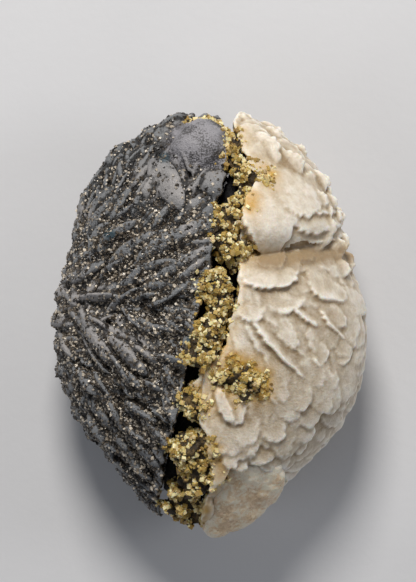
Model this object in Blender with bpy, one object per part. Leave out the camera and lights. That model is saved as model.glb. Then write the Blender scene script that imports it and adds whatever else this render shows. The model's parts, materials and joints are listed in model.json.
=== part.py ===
"""Calcite with boulangerite, a hand specimen that lies on its back.

A rosette of bladed calcite. The half towards +X is pale, and the half towards -X is grey with
boulangerite. Between them runs a groove floored with black boulangerite wool, and crusts of
honey-coloured siderite rhombs sit along it. The back is the flat where it broke from the rock.
Metres, +Z up. The showing side faces +Z, and the top of the specimen is towards +Y.
"""

import math
import random

import bmesh
import bpy
from mathutils import Matrix, Vector

MM = 0.001

# Driving dimensions of the rosette
REACH_MM_EVERY_30_DEG = (31.4, 31.0, 38.2, 42.6, 39.0, 32.0, 31.4, 32.6, 35.2, 42.0, 34.8, 33.0)
WIDEST_Z = 17.0 * MM
FRONT_RISE = 24.0 * MM
BACK_DROP = 22.0 * MM
BLADE_STAND = 2.4 * MM
GAP = 0.35 * MM

# Heights of the two rows of blades round the outline, as angles from where the dome is widest
UPPER_ROW = 0.10
LOWER_ROW = -0.62

# The fold that parts the upper lobe of the pale half from its lower dome
FOLD_Y = 13.4 * MM
FOLD_SLOPE = 0.10
FOLD_WIDTH = 2.6 * MM
FOLD_DEPTH = 5.0 * MM
FOLD_STARTS_X = 3.5 * MM

# Where the blades of the pale half fan out from
FAN_CENTRE = Vector((3.6 * MM, 12.6 * MM))

# The groove: where the pale half and the grey half end, from the top of the specimen down
PALE_EDGE = [
    (3.6, 46.0), (4.4, 39.0), (6.8, 32.5), (8.6, 28.0), (6.6, 23.0), (5.6, 16.5), (5.3, 9.5),
    (4.6, 2.5), (2.4, -5.0), (-3.6, -11.5), (-2.4, -17.0), (-0.6, -23.5), (0.6, -30.0),
    (-1.6, -36.5), (-2.4, -46.0),
]
GREY_EDGE = [
    (1.6, 46.0), (2.6, 39.0), (4.6, 33.5), (3.4, 28.0), (1.4, 23.0), (1.4, 17.0), (0.2, 11.0),
    (-1.8, 4.0), (-3.4, -3.5), (-4.7, -10.5), (-5.2, -16.0), (-7.4, -22.0), (-8.8, -28.0),
    (-9.6, -34.0), (-9.0, -40.0), (-8.4, -46.0),
]
GROOVE_DEPTH = 4.2 * MM

# Sides of a blade's outline, and the size and height of its flat face as shares of the blade
BLADE_SIDES = 6
FACE_SIZE = 0.66
FACE_HEIGHT = 0.80

# Blades round the outline: first and last angle, count, height as an angle, seed,
# then half length, half height and thickness in mm, and lean
PALE_RIM = (
    (-68, 30, 16, UPPER_ROW, 31, 8.5, 5.5, 5.0, 18),
    (-60, 68, 7, LOWER_ROW, 32, 8.0, 5.0, 6.5, 18),
)
GREY_RIM = (
    (98, 254, 18, UPPER_ROW, 41, 7.5, 5.0, 5.4, -24),
    (106, 248, 7, LOWER_ROW, 42, 8.0, 5.0, 6.5, -20),
)

# Plates of the upper lobe: first and last angle, count, height over the flat in mm, seed,
# then half length, half width and thickness in mm
PALE_SHINGLES = ((34, 83, 6, 17.0, 33, 6.5, 3.8, 4.0), (30, 74, 5, 25.0, 34, 7.5, 4.4, 4.0))

# Rings of blades over the front of the pale half: radius and spacing in mm, and the fan's widest angle
PALE_RINGS = ((9.0, 7.0), (17.5, 6.4), (26.0, 6.6), (35.0, 6.8), (44.0, 7.0))
FAN_HALF_ANGLE = 98

# The crusts of rhombs: route as x, y in mm, number of rhombs, spread and width in mm, and seed
CRUSTS = {
    "siderite_top": ([(-2.6, 41.4), (1.4, 39.6), (4.4, 36.0), (6.2, 31.4), (9.8, 29.2)], 9, 0.6, 3.4, 1),
    "siderite_upper": ([(5.6, 23.6), (4.2, 21.8), (2.8, 19.0), (3.4, 16.8), (4.6, 15.2)], 7, 0.9, 3.8, 2),
    "siderite_middle": (
        [(2.2, 8.4), (0.8, 5.6), (2.2, 2.6), (0.0, -1.6), (-1.2, -4.4), (-2.8, -6.2)], 9, 1.2, 4.0, 3,
    ),
    "siderite_patch": (
        [(2.6, -10.2), (4.6, -9.6), (7.2, -10.6), (9.0, -12.0), (6.8, -13.6)], 6, 0.6, 3.6, 4,
    ),
    "siderite_low": ([(-4.0, -15.6), (-2.6, -16.6), (-1.8, -18.4)], 4, 0.6, 3.2, 5),
    "siderite_foot": (
        [
            (-2.4, -24.8), (-5.0, -26.8), (-3.0, -30.0), (0.6, -31.6), (-4.8, -34.2), (-6.6, -38.6),
            (-3.6, -40.6),
        ],
        12, 1.1, 4.3, 6,
    ),
}

PALE_COLOUR = (0.78, 0.70, 0.58, 1.0)
GREY_COLOUR = (0.12, 0.12, 0.125, 1.0)
BLACK_COLOUR = (0.012, 0.012, 0.014, 1.0)
HONEY_COLOUR = (0.55, 0.38, 0.12, 1.0)


def clear_scene():
    for obj in list(bpy.data.objects):
        bpy.data.objects.remove(obj, do_unlink=True)


def new_collection(name):
    collection = bpy.data.collections.new(name)
    bpy.context.scene.collection.children.link(collection)
    return collection


def make_material(name, colour, roughness):
    material = bpy.data.materials.new(name)
    material.use_nodes = True
    shader = material.node_tree.nodes["Principled BSDF"]
    shader.inputs["Base Color"].default_value = colour
    shader.inputs["Roughness"].default_value = roughness
    return material


def catmull_rom(a, b, c, d, t):
    return 0.5 * (2 * b + (c - a) * t + (2 * a - 5 * b + 4 * c - d) * t**2 + (3 * b - a - 3 * c + d) * t**3)


def reach(theta):
    """How far the blade tips reach from the middle, at an angle round the showing side."""
    count = len(REACH_MM_EVERY_30_DEG)
    place = (theta % (2 * math.pi)) / (2 * math.pi) * count
    first = int(place) % count
    around = [REACH_MM_EVERY_30_DEG[(first + k) % count] * MM for k in (-1, 0, 1, 2)]
    return catmull_rom(*around, place - int(place))


def smooth_step(value, low, high):
    t = min(1.0, max(0.0, (value - low) / (high - low)))
    return t * t * (3 - 2 * t)


def fold_drop(x, y):
    """How far the skin dips below the dome in the fold of the pale half."""
    off = (y - FOLD_Y - FOLD_SLOPE * x) / FOLD_WIDTH
    return FOLD_DEPTH * math.exp(-off * off) * smooth_step(x, FOLD_STARTS_X, FOLD_STARTS_X + 5 * MM)


def skin(theta, phi, inset=0.0):
    """A point of the dome; phi is 0 where it is widest and 90 degrees at the front."""
    radius = (reach(theta) - inset) * math.cos(phi)
    rise = (FRONT_RISE if phi > 0 else BACK_DROP) - inset
    x = radius * math.cos(theta)
    y = radius * math.sin(theta)
    z = WIDEST_Z + rise * math.sin(phi)
    if phi > 0:
        z -= fold_drop(x, y) * math.sin(phi)
    return Vector((x, y, z))


def front_angles(x, y, clamped=False):
    """theta and phi of the skin point that shows at x, y from the front, or None outside the outline."""
    theta = math.atan2(y, x)
    share = math.hypot(x, y) / (reach(theta) - BLADE_STAND)
    if share >= 0.98 and not clamped:
        return None
    return theta, math.acos(min(share, 0.98))


def outward(theta, phi):
    """The skin's normal."""
    step = 0.02
    tall = min(phi, math.pi / 2 - 2 * step)
    around = skin(theta + step, tall) - skin(theta - step, tall)
    up = skin(theta, tall + step) - skin(theta, tall - step)
    return around.cross(up).normalized()


def along_edge(edge, y):
    """x of one side of the groove at a height y, both in metres."""
    points = [(x * MM, h * MM) for x, h in edge]
    if y >= points[0][1]:
        return points[0][0]
    for (x_high, high), (x_low, low) in zip(points, points[1:]):
        if y >= low:
            return x_low + (x_high - x_low) * (y - low) / (high - low)
    return points[-1][0]


def mesh_object(name, mesh_maker, matrix, collection):
    """An object from a bmesh primitive, with its shape in its mesh."""
    mesh = bpy.data.meshes.new(name)
    bm = bmesh.new()
    mesh_maker(bm)
    bmesh.ops.recalc_face_normals(bm, faces=bm.faces)
    bm.transform(matrix)
    bm.to_mesh(mesh)
    bm.free()
    obj = bpy.data.objects.new(name, mesh)
    collection.objects.link(obj)
    return obj


def add_blade(collection, centre, along, out, half_length, half_height, thickness, chance, face=1.0):
    """A six-sided calcite blade with a sharp rim: long one way, standing out the other, thin across.

    Its flat face is towards along x out where face is 1, and on the other side where face is -1.
    """
    uneven = [chance.uniform(0.90, 1.10) for _ in range(BLADE_SIDES)]

    def blade(bm):
        bmesh.ops.create_uvsphere(bm, u_segments=BLADE_SIDES, v_segments=3, radius=1.0)
        for vertex in bm.verts:
            on_face = vertex.co.z * face > 0
            if math.hypot(vertex.co.x, vertex.co.y) < 0.1:
                vertex.co.z = face * FACE_HEIGHT if on_face else -face
                continue
            angle = math.atan2(vertex.co.y, vertex.co.x) % (2 * math.pi)
            side = round(angle / (2 * math.pi) * BLADE_SIDES) % BLADE_SIDES
            spread = uneven[side] * (FACE_SIZE if on_face else 1.0)
            height = face * FACE_HEIGHT if on_face else 0.0
            vertex.co = Vector((math.cos(angle) * spread, math.sin(angle) * spread, height))

    across = along.cross(out).normalized()
    frame = Matrix((along, out, across)).transposed().to_4x4()
    size = Matrix.Diagonal((half_length, half_height, thickness / 2, 1.0))
    return mesh_object("blade", blade, Matrix.Translation(centre) @ frame @ size, collection)


def blade_on_skin(collection, theta, phi, heading, lean, half_length, half_height, thickness, stand, chance):
    """A blade that grows out of the skin. heading is its long direction, and lean tips it over."""
    normal = outward(theta, phi)
    direction = Vector((math.cos(heading), math.sin(heading), 0.0))
    along = direction - normal * direction.dot(normal)
    if along.length < 0.3:
        along = Vector((0, 0, 1)) - normal * normal.z
    along.normalize()
    side = normal.cross(along)
    out = (normal * math.cos(lean) + side * math.sin(lean)).normalized()
    centre = skin(theta, phi, BLADE_STAND) + normal * stand - out * half_height
    face = math.copysign(1.0, lean)
    return add_blade(collection, centre, along, out, half_length, half_height, thickness, chance, face)


def rim_blades(collection, first, last, count, phi, seed, half_length, half_height, thickness, lean):
    """Blades that stand out round the outline, like the pages of a book."""
    chance = random.Random(seed)
    for k in range(count):
        theta = math.radians(first + (last - first) * (k + chance.uniform(-0.2, 0.2)) / (count - 1))
        tilt = math.radians(lean + chance.uniform(-14, 14))
        stand = BLADE_STAND * chance.uniform(0.9, 1.15)
        blade_on_skin(
            collection, theta, phi + math.radians(chance.uniform(-6, 6)), theta, tilt,
            half_length * MM * chance.uniform(0.85, 1.15), half_height * MM,
            thickness * MM * chance.uniform(0.85, 1.2), stand, chance,
        )


def pale_front_blades(collection):
    """Rows of leaning blades that fan out from one centre over the front of the pale half."""
    chance = random.Random(11)
    for ring, (radius, arc) in enumerate(PALE_RINGS):
        count = max(4, int(math.pi * radius / arc))
        for k in range(count):
            share = (k + 0.5 * (ring % 2) + chance.uniform(-0.2, 0.2)) / count
            angle = math.radians(FAN_HALF_ANGLE * (2 * share - 1))
            x = FAN_CENTRE.x + radius * MM * math.cos(angle)
            y = FAN_CENTRE.y + radius * MM * math.sin(angle)
            place = front_angles(x, y)
            if place is None or x < along_edge(PALE_EDGE, y) + 1.5 * MM:
                continue
            lean = 52 if y > FOLD_Y else -48
            blade_on_skin(
                collection, *place, angle, math.radians(lean + chance.uniform(-12, 12)),
                chance.uniform(6.0, 8.0) * MM, chance.uniform(4.4, 5.4) * MM, chance.uniform(3.4, 4.4) * MM,
                BLADE_STAND * chance.uniform(0.8, 1.2), chance,
            )


def shingles(collection, first, last, count, level, seed, half_length, half_width, thickness):
    """Plates that face the front with their ends pointing out, in one layer at a height over the flat."""
    chance = random.Random(seed)
    for k in range(count):
        theta = math.radians(first + (last - first) * (k + chance.uniform(-0.15, 0.15)) / (count - 1))
        phi = math.asin((level * MM - WIDEST_Z) / FRONT_RISE)
        tip = skin(theta, phi, -BLADE_STAND * chance.uniform(0.2, 0.65))
        along = Vector((math.cos(theta), math.sin(theta), chance.uniform(-0.35, -0.1))).normalized()
        facing = Vector((chance.uniform(-0.15, 0.15), chance.uniform(-0.15, 0.15), 1.0))
        across = facing.cross(along).normalized()
        add_blade(
            collection, tip - along * half_length * MM, along, across, half_length * MM,
            half_width * MM * chance.uniform(0.85, 1.15), thickness * MM, chance,
        )


def pale_ledges(collection):
    """The large plates that show best on the pale half."""
    chance = random.Random(5)
    for x, y, heading, lean, long, tall, thick, stand in (
        (10.6, 24.8, 60, 80, 10.6, 6.4, 3.8, 2.4),
        (15.5, 16.8, 12, 70, 8.0, 4.6, 3.8, 2.6),
        (12.0, 9.0, 8, 72, 7.0, 3.8, 3.6, 2.6),
        (9.5, -6.0, -38, -62, 8.8, 4.2, 3.6, 2.8),
        (19.0, -7.0, -38, -58, 8.4, 4.0, 3.6, 2.6),
        (3.4, -20.0, -60, -64, 6.8, 3.6, 3.8, 2.4),
    ):
        theta, phi = front_angles(x * MM, y * MM, clamped=True)
        blade_on_skin(
            collection, theta, phi, math.radians(heading), math.radians(lean),
            long * MM, tall * MM, thick * MM, stand * MM, chance,
        )


def lower_crystal(collection):
    """The broad clear crystal at the foot of the pale half, with a lobe at its upper end."""
    chance = random.Random(3)
    facing = Vector((0.25, -0.25, 0.93)).normalized()
    for centre, heading, half_length, half_width, thickness in (
        ((4.7, -32.6, 18.8), 55, 11.2, 6.8, 10.0),
        ((9.2, -28.4, 21.0), 80, 6.2, 6.4, 9.0),
    ):
        along = Vector((math.cos(math.radians(heading)), math.sin(math.radians(heading)), 0.05)).normalized()
        across = facing.cross(along).normalized()
        add_blade(
            collection, Vector(centre) * MM, along, across,
            half_length * MM, half_width * MM, thickness * MM, chance,
        )


def grey_heading(y):
    """Which way the grey blades run: upright at the top, across in the middle, then down to the right."""
    stops = ((44, 98), (30, 80), (20, 40), (12, 24), (4, 2), (-2, -40), (-16, -50), (-32, -60), (-46, -72))
    h = y / MM
    for (high, at_high), (low, at_low) in zip(stops, stops[1:]):
        if h >= low:
            return math.radians(at_low + (at_high - at_low) * (min(h, high) - low) / (high - low))
    return math.radians(stops[-1][1])


def grey_front_blades(collection):
    """Staggered rows of blades over the front of the grey half, turning with the height."""
    chance = random.Random(23)
    column, row = 6.5 * MM, 7.2 * MM
    for j in range(-7, 8):
        for i in range(-6, 3):
            x = (i + 0.5 * (j % 2) + chance.uniform(-0.25, 0.25)) * column
            y = (j + chance.uniform(-0.25, 0.25)) * row
            place = front_angles(x, y)
            if place is None or x > along_edge(GREY_EDGE, y) - 1.2 * MM:
                continue
            blade_on_skin(
                collection, *place, grey_heading(y) + math.radians(chance.uniform(-16, 16)),
                math.radians(chance.choice((1, 1, -1)) * chance.uniform(25, 55)),
                chance.uniform(4.8, 6.8) * MM, chance.uniform(3.6, 4.8) * MM, chance.uniform(3.0, 4.2) * MM,
                BLADE_STAND * chance.uniform(0.6, 1.15), chance,
            )


def grey_ledges(collection):
    """The ridges and flakes that show best on the grey half."""
    chance = random.Random(7)
    for x, y, heading, lean, long, tall, thick, stand in (
        (-20.6, -1.8, -46, 20, 7.4, 3.4, 4.0, 3.4),
        (-14.2, -4.6, -40, 40, 5.8, 3.0, 2.4, 3.4),
        (-26.0, 5.4, -22, 30, 5.8, 3.4, 3.2, 2.4),
        (-5.2, 27.0, -66, 60, 6.4, 3.0, 2.8, 3.4),
        (-11.8, 26.4, 62, 30, 6.0, 3.4, 3.2, 2.6),
        (-7.4, 17.0, 26, 40, 9.0, 3.8, 3.0, 2.8),
        (-5.6, 12.0, 30, 34, 8.6, 3.6, 3.0, 2.6),
        (-14.0, 15.4, 22, 36, 8.4, 3.8, 3.2, 2.6),
        (-20.0, 21.6, 24, 36, 6.4, 3.6, 3.4, 2.6),
        (-7.2, -9.6, -76, 24, 9.0, 3.6, 3.2, 2.2),
        (-12.6, -22.0, -58, 34, 9.0, 3.8, 3.6, 2.4),
        (-19.4, -17.0, -48, 34, 8.0, 3.8, 3.6, 2.2),
        (-12.0, -31.0, -64, 40, 7.6, 3.8, 3.6, 2.2),
    ):
        theta, phi = front_angles(x * MM, y * MM, clamped=True)
        blade_on_skin(
            collection, theta, phi, math.radians(heading), math.radians(lean),
            long * MM, tall * MM, thick * MM, stand * MM, chance,
        )


def add_lump(collection, centre, size):
    """A rounded lump; centre and half sizes in millimetres."""
    matrix = Matrix.Translation(Vector(centre) * MM) @ Matrix.Diagonal((*(s * MM for s in size), 1.0))

    def ball(bm):
        bmesh.ops.create_icosphere(bm, subdivisions=2, radius=1.0)

    return mesh_object("lump", ball, matrix, collection)


def grey_knob(collection):
    """The smooth round crystal near the top of the grey half, with a smaller one under it."""
    add_lump(collection, (-1.4, 33.8, 27.5), (6.6, 6.4, 6.4))
    add_lump(collection, (1.2, 26.4, 33.6), (3.4, 3.4, 3.4))


def make_core(name, collection, inset, sunk=0.0, subdivisions=3):
    """The dome that the blades grow from, dug deeper by sunk on its front."""

    def dome(bm):
        bmesh.ops.create_icosphere(bm, subdivisions=subdivisions, radius=1.0)
        for vertex in bm.verts:
            direction = vertex.co.normalized()
            theta = math.atan2(direction.y, direction.x)
            vertex.co = skin(theta, math.asin(max(-1.0, min(1.0, direction.z))), inset)
            vertex.co.z -= sunk * max(0.0, direction.z)

    return mesh_object(name, dome, Matrix.Identity(4), collection)


def prism(name, outline, collection, low=-20 * MM, high=80 * MM):
    """A tall closed block from a flat outline in millimetres, made from a filled 2D curve."""
    curve = bpy.data.curves.new(name, "CURVE")
    curve.dimensions = "2D"
    curve.fill_mode = "BOTH"
    curve.extrude = (high - low) / 2
    spline = curve.splines.new("POLY")
    spline.points.add(len(outline) - 1)
    for point, (x, y) in zip(spline.points, outline):
        point.co = (x * MM, y * MM, 0.0, 1.0)
    spline.use_cyclic_u = True
    drawn = bpy.data.objects.new(name + "_outline", curve)
    collection.objects.link(drawn)
    drawn.location.z = (high + low) / 2
    bpy.context.view_layer.update()
    block = mesh_from(drawn, name, collection)
    bpy.data.objects.remove(drawn, do_unlink=True)
    return block


def mesh_from(obj, name, collection):
    """The evaluated object as a mesh object of its own, welded and closed."""
    graph = bpy.context.evaluated_depsgraph_get()
    mesh = bpy.data.meshes.new_from_object(obj.evaluated_get(graph))
    bm = bmesh.new()
    bm.from_mesh(mesh)
    bm.transform(obj.matrix_world)
    bmesh.ops.remove_doubles(bm, verts=bm.verts, dist=0.002 * MM)
    bmesh.ops.recalc_face_normals(bm, faces=bm.faces)
    bm.to_mesh(mesh)
    bm.free()
    result = bpy.data.objects.new(name, mesh)
    collection.objects.link(result)
    return result


def combine(obj, operation, other):
    """Adds a Boolean modifier that works on one object or on a collection."""
    modifier = obj.modifiers.new(operation.lower(), "BOOLEAN")
    modifier.operation = operation
    modifier.solver = "MANIFOLD"
    if isinstance(other, bpy.types.Collection):
        modifier.operand_type = "COLLECTION"
        modifier.collection = other
    else:
        modifier.object = other


def keep_largest_body(obj):
    """Deletes the crumbs that a cut leaves loose beside the main body, or hanging on it by a point."""
    bm = bmesh.new()
    bm.from_mesh(obj.data)
    left = set(bm.faces)
    bodies = []
    while left:
        stack = [left.pop()]
        body = set(stack)
        while stack:
            whole_edges = [edge for edge in stack.pop().edges if len(edge.link_faces) == 2]
            joined = {face for edge in whole_edges for face in edge.link_faces} & left
            left -= joined
            body |= joined
            stack.extend(joined)
        bodies.append(body)
    largest = max(bodies, key=len)
    bmesh.ops.delete(bm, geom=[face for face in bm.faces if face not in largest], context="FACES")
    bm.to_mesh(obj.data)
    bm.free()


def finish_node(name, rough, steps, material, parts):
    """Runs the Boolean steps on a rough object, and keeps the result as a node."""
    for operation, other in steps:
        combine(rough, operation, other)
    node = mesh_from(rough, name, parts)
    keep_largest_body(node)
    node.data.materials.clear()
    node.data.materials.append(material)
    return node


def rhomb(bm):
    """A siderite rhomb: a cube pulled along its diagonal."""
    bmesh.ops.create_cube(bm, size=1.0)
    diagonal = Vector((1, 1, 1)).normalized()
    for vertex in bm.verts:
        vertex.co += diagonal * vertex.co.dot(diagonal) * 0.25


def crust(name, route, count, spread, size, seed, cutters):
    """Rhombs in a chain along a route over the groove, and the same rhombs swollen by the gap as cutters.

    route is a list of x, y in millimetres, and each rhomb sinks a little into what carries it.
    """
    chance = random.Random(seed)
    solids = new_collection(name + "_rhombs")
    for k in range(count):
        place = k / max(1, count - 1) * (len(route) - 1)
        first = min(int(place), len(route) - 2)
        here = [route[first][i] + (route[first + 1][i] - route[first][i]) * (place - first) for i in (0, 1)]
        x = (here[0] + chance.uniform(-spread, spread)) * MM
        y = (here[1] + chance.uniform(-spread, spread) * 0.6) * MM
        theta = math.atan2(y, x)
        phi = math.acos(min(0.97, math.hypot(x, y) / reach(theta)))
        centre = skin(theta, phi, 2.6 * MM + chance.uniform(-0.6, 0.6) * MM)
        width = size * MM * chance.uniform(0.85, 1.2)
        turn = Matrix.Rotation(chance.uniform(0, math.pi), 4, "Z")
        turn = turn @ Matrix.Rotation(chance.uniform(0, math.pi), 4, "X")
        placed = Matrix.Translation(centre) @ turn
        for target, scale in ((solids, width), (cutters, width + 2 * GAP)):
            mesh_object(name + "_rhomb", rhomb, placed @ Matrix.Scale(scale, 4), target)
    return solids


def hide_helpers(collections):
    for collection in collections:
        collection.hide_render = True
        for obj in collection.objects:
            obj.hide_render = True
            obj.display_type = "WIRE"


def centre_on_origin(nodes):
    """Moves the nodes so that the middle of the flat back is the origin."""
    corners = [node.matrix_world @ vertex.co for node in nodes for vertex in node.data.vertices]
    low = Vector(min(c[i] for c in corners) for i in range(3))
    high = Vector(max(c[i] for c in corners) for i in range(3))
    shift = Vector((-(low.x + high.x) / 2, -(low.y + high.y) / 2, -low.z))
    for node in nodes:
        node.data.transform(Matrix.Translation(shift))


def main():
    clear_scene()
    parts = new_collection("calcite_with_boulangerite")
    helpers = new_collection("cutters")
    pockets = new_collection("pockets")

    pale = make_material("pale_calcite", PALE_COLOUR, 0.45)
    grey = make_material("grey_calcite", GREY_COLOUR, 0.55)
    black = make_material("boulangerite", BLACK_COLOUR, 0.8)
    honey = make_material("siderite", HONEY_COLOUR, 0.35)

    crusts = {name: crust(name, *plan, pockets) for name, plan in CRUSTS.items()}
    for name, rhombs in crusts.items():
        seed_rhomb = rhombs.objects[0]
        rhombs.objects.unlink(seed_rhomb)
        helpers.objects.link(seed_rhomb)
        finish_node(name, seed_rhomb, [("UNION", rhombs)], honey, parts)

    half = 80.0
    right = prism("right_of_groove", [*PALE_EDGE, (half, -half), (half, half)], helpers)
    left = prism("left_of_groove", [*GREY_EDGE, (-half, -half), (-half, half)], helpers)
    inner_pale = [(x - GAP / MM, y) for x, y in PALE_EDGE]
    inner_grey = [(x + GAP / MM, y) for x, y in GREY_EDGE]
    between = prism("groove", [*inner_pale, *reversed(inner_grey)], helpers)
    square = [(-half, -half), (half, -half), (half, half), (-half, half)]
    below = prism("rock_side", square, helpers, -60 * MM, 0.0)

    pale_blades = new_collection("pale_blades")
    pale_front_blades(pale_blades)
    pale_ledges(pale_blades)
    for row in PALE_RIM:
        rim_blades(pale_blades, *row)
    for row in PALE_SHINGLES:
        shingles(pale_blades, *row)
    lower_crystal(pale_blades)
    pale_core = make_core("pale_core", helpers, BLADE_STAND)
    finish_node(
        "pale_calcite", pale_core,
        [("UNION", pale_blades), ("INTERSECT", right), ("DIFFERENCE", pockets), ("DIFFERENCE", below)],
        pale, parts,
    )

    grey_blades = new_collection("grey_blades")
    grey_front_blades(grey_blades)
    grey_ledges(grey_blades)
    for row in GREY_RIM:
        rim_blades(grey_blades, *row)
    grey_knob(grey_blades)
    grey_core = make_core("grey_core", helpers, BLADE_STAND)
    finish_node(
        "grey_calcite", grey_core,
        [("UNION", grey_blades), ("INTERSECT", left), ("DIFFERENCE", pockets), ("DIFFERENCE", below)],
        grey, parts,
    )

    seam_core = make_core("seam_core", helpers, BLADE_STAND, GROOVE_DEPTH, subdivisions=2)
    finish_node(
        "boulangerite_seam", seam_core,
        [("INTERSECT", between), ("DIFFERENCE", pockets), ("DIFFERENCE", below)], black, parts,
    )

    hide_helpers([helpers, pockets, pale_blades, grey_blades, *crusts.values()])
    centre_on_origin(list(parts.objects))


main()
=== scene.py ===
"""The looks of a calcite with boulangerite specimen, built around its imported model.

The specimen lies on its back. +Z comes out of its showing side, +Y is its top, and +X is its pale half.
Lengths are in metres, apart from names that end in _mm.
"""

import json
import logging
import math
import random
from collections.abc import Iterable
from dataclasses import dataclass, field
from enum import Enum

import bmesh
import bpy
import numpy as np
from bpy.types import Collection, Material, Mesh, Node, NodeSocket, NodeTree, Object
from mathutils import Matrix, Vector, kdtree

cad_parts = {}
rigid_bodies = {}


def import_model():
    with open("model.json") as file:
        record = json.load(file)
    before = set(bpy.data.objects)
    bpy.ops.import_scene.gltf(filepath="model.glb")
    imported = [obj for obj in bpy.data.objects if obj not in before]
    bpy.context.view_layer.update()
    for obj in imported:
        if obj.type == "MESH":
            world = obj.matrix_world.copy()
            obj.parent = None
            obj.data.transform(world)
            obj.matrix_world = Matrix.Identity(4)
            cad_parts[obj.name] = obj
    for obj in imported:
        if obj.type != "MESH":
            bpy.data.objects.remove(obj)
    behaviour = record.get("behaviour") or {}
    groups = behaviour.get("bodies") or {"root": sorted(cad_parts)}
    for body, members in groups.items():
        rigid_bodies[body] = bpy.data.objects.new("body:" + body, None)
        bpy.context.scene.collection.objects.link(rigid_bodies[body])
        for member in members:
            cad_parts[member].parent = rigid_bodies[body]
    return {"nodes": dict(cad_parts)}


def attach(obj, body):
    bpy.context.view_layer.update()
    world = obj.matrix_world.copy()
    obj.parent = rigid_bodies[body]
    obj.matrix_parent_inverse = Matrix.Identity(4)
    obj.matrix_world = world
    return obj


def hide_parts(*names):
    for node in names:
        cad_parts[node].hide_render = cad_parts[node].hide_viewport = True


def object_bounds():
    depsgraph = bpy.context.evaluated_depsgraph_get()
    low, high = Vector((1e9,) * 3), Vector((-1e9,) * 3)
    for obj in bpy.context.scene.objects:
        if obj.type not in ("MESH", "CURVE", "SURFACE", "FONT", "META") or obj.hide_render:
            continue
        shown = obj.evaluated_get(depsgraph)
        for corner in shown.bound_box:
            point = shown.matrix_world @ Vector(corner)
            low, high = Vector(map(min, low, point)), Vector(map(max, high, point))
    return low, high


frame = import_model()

CAD_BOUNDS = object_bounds()
MM = 0.001
LOG = logging.getLogger("specimen")

# How often a surface is smoothed before what stands out of it is measured
CREST_ROUNDS = 10
HOLLOW_ROUNDS = 120

PALE_NODE = "pale_calcite"
GREY_NODE = "grey_calcite"
SEAM_NODE = "boulangerite_seam"
CRUST_NODES = (
    "siderite_top", "siderite_upper", "siderite_middle", "siderite_patch", "siderite_low", "siderite_foot",
)

# The sides of the groove as x, y in mm, from the top of the specimen down
PALE_EDGE = (
    (8.6, 46.0), (6.3, 42.8), (4.9, 40.8), (4.5, 38.6), (6.8, 32.5), (8.6, 28.0), (6.6, 23.0), (5.6, 16.5),
    (5.3, 9.5), (4.6, 2.5), (2.4, -5.0), (-3.6, -11.5), (-2.4, -17.0), (-0.6, -23.5), (0.6, -30.0),
    (-1.6, -36.5), (-2.4, -46.0),
)
GREY_EDGE = (
    (1.6, 46.0), (2.6, 39.0), (4.6, 33.5), (3.4, 28.0), (1.4, 23.0), (1.4, 17.0), (0.2, 11.0),
    (-1.8, 4.0), (-3.4, -3.5), (-4.7, -10.5), (-5.2, -16.0), (-7.4, -22.0), (-8.8, -28.0),
    (-9.6, -34.0), (-9.0, -40.0), (-8.4, -46.0),
)


class Side(Enum):
    """Which half of the specimen a blade belongs to, as the sign of x away from the groove."""

    PALE = 1.0
    GREY = -1.0


def smooth_step(value: float, low: float, high: float) -> float:
    """Rises smoothly from 0 at low to 1 at high."""
    t = min(1.0, max(0.0, (value - low) / (high - low)))
    return t * t * (3 - 2 * t)


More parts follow.
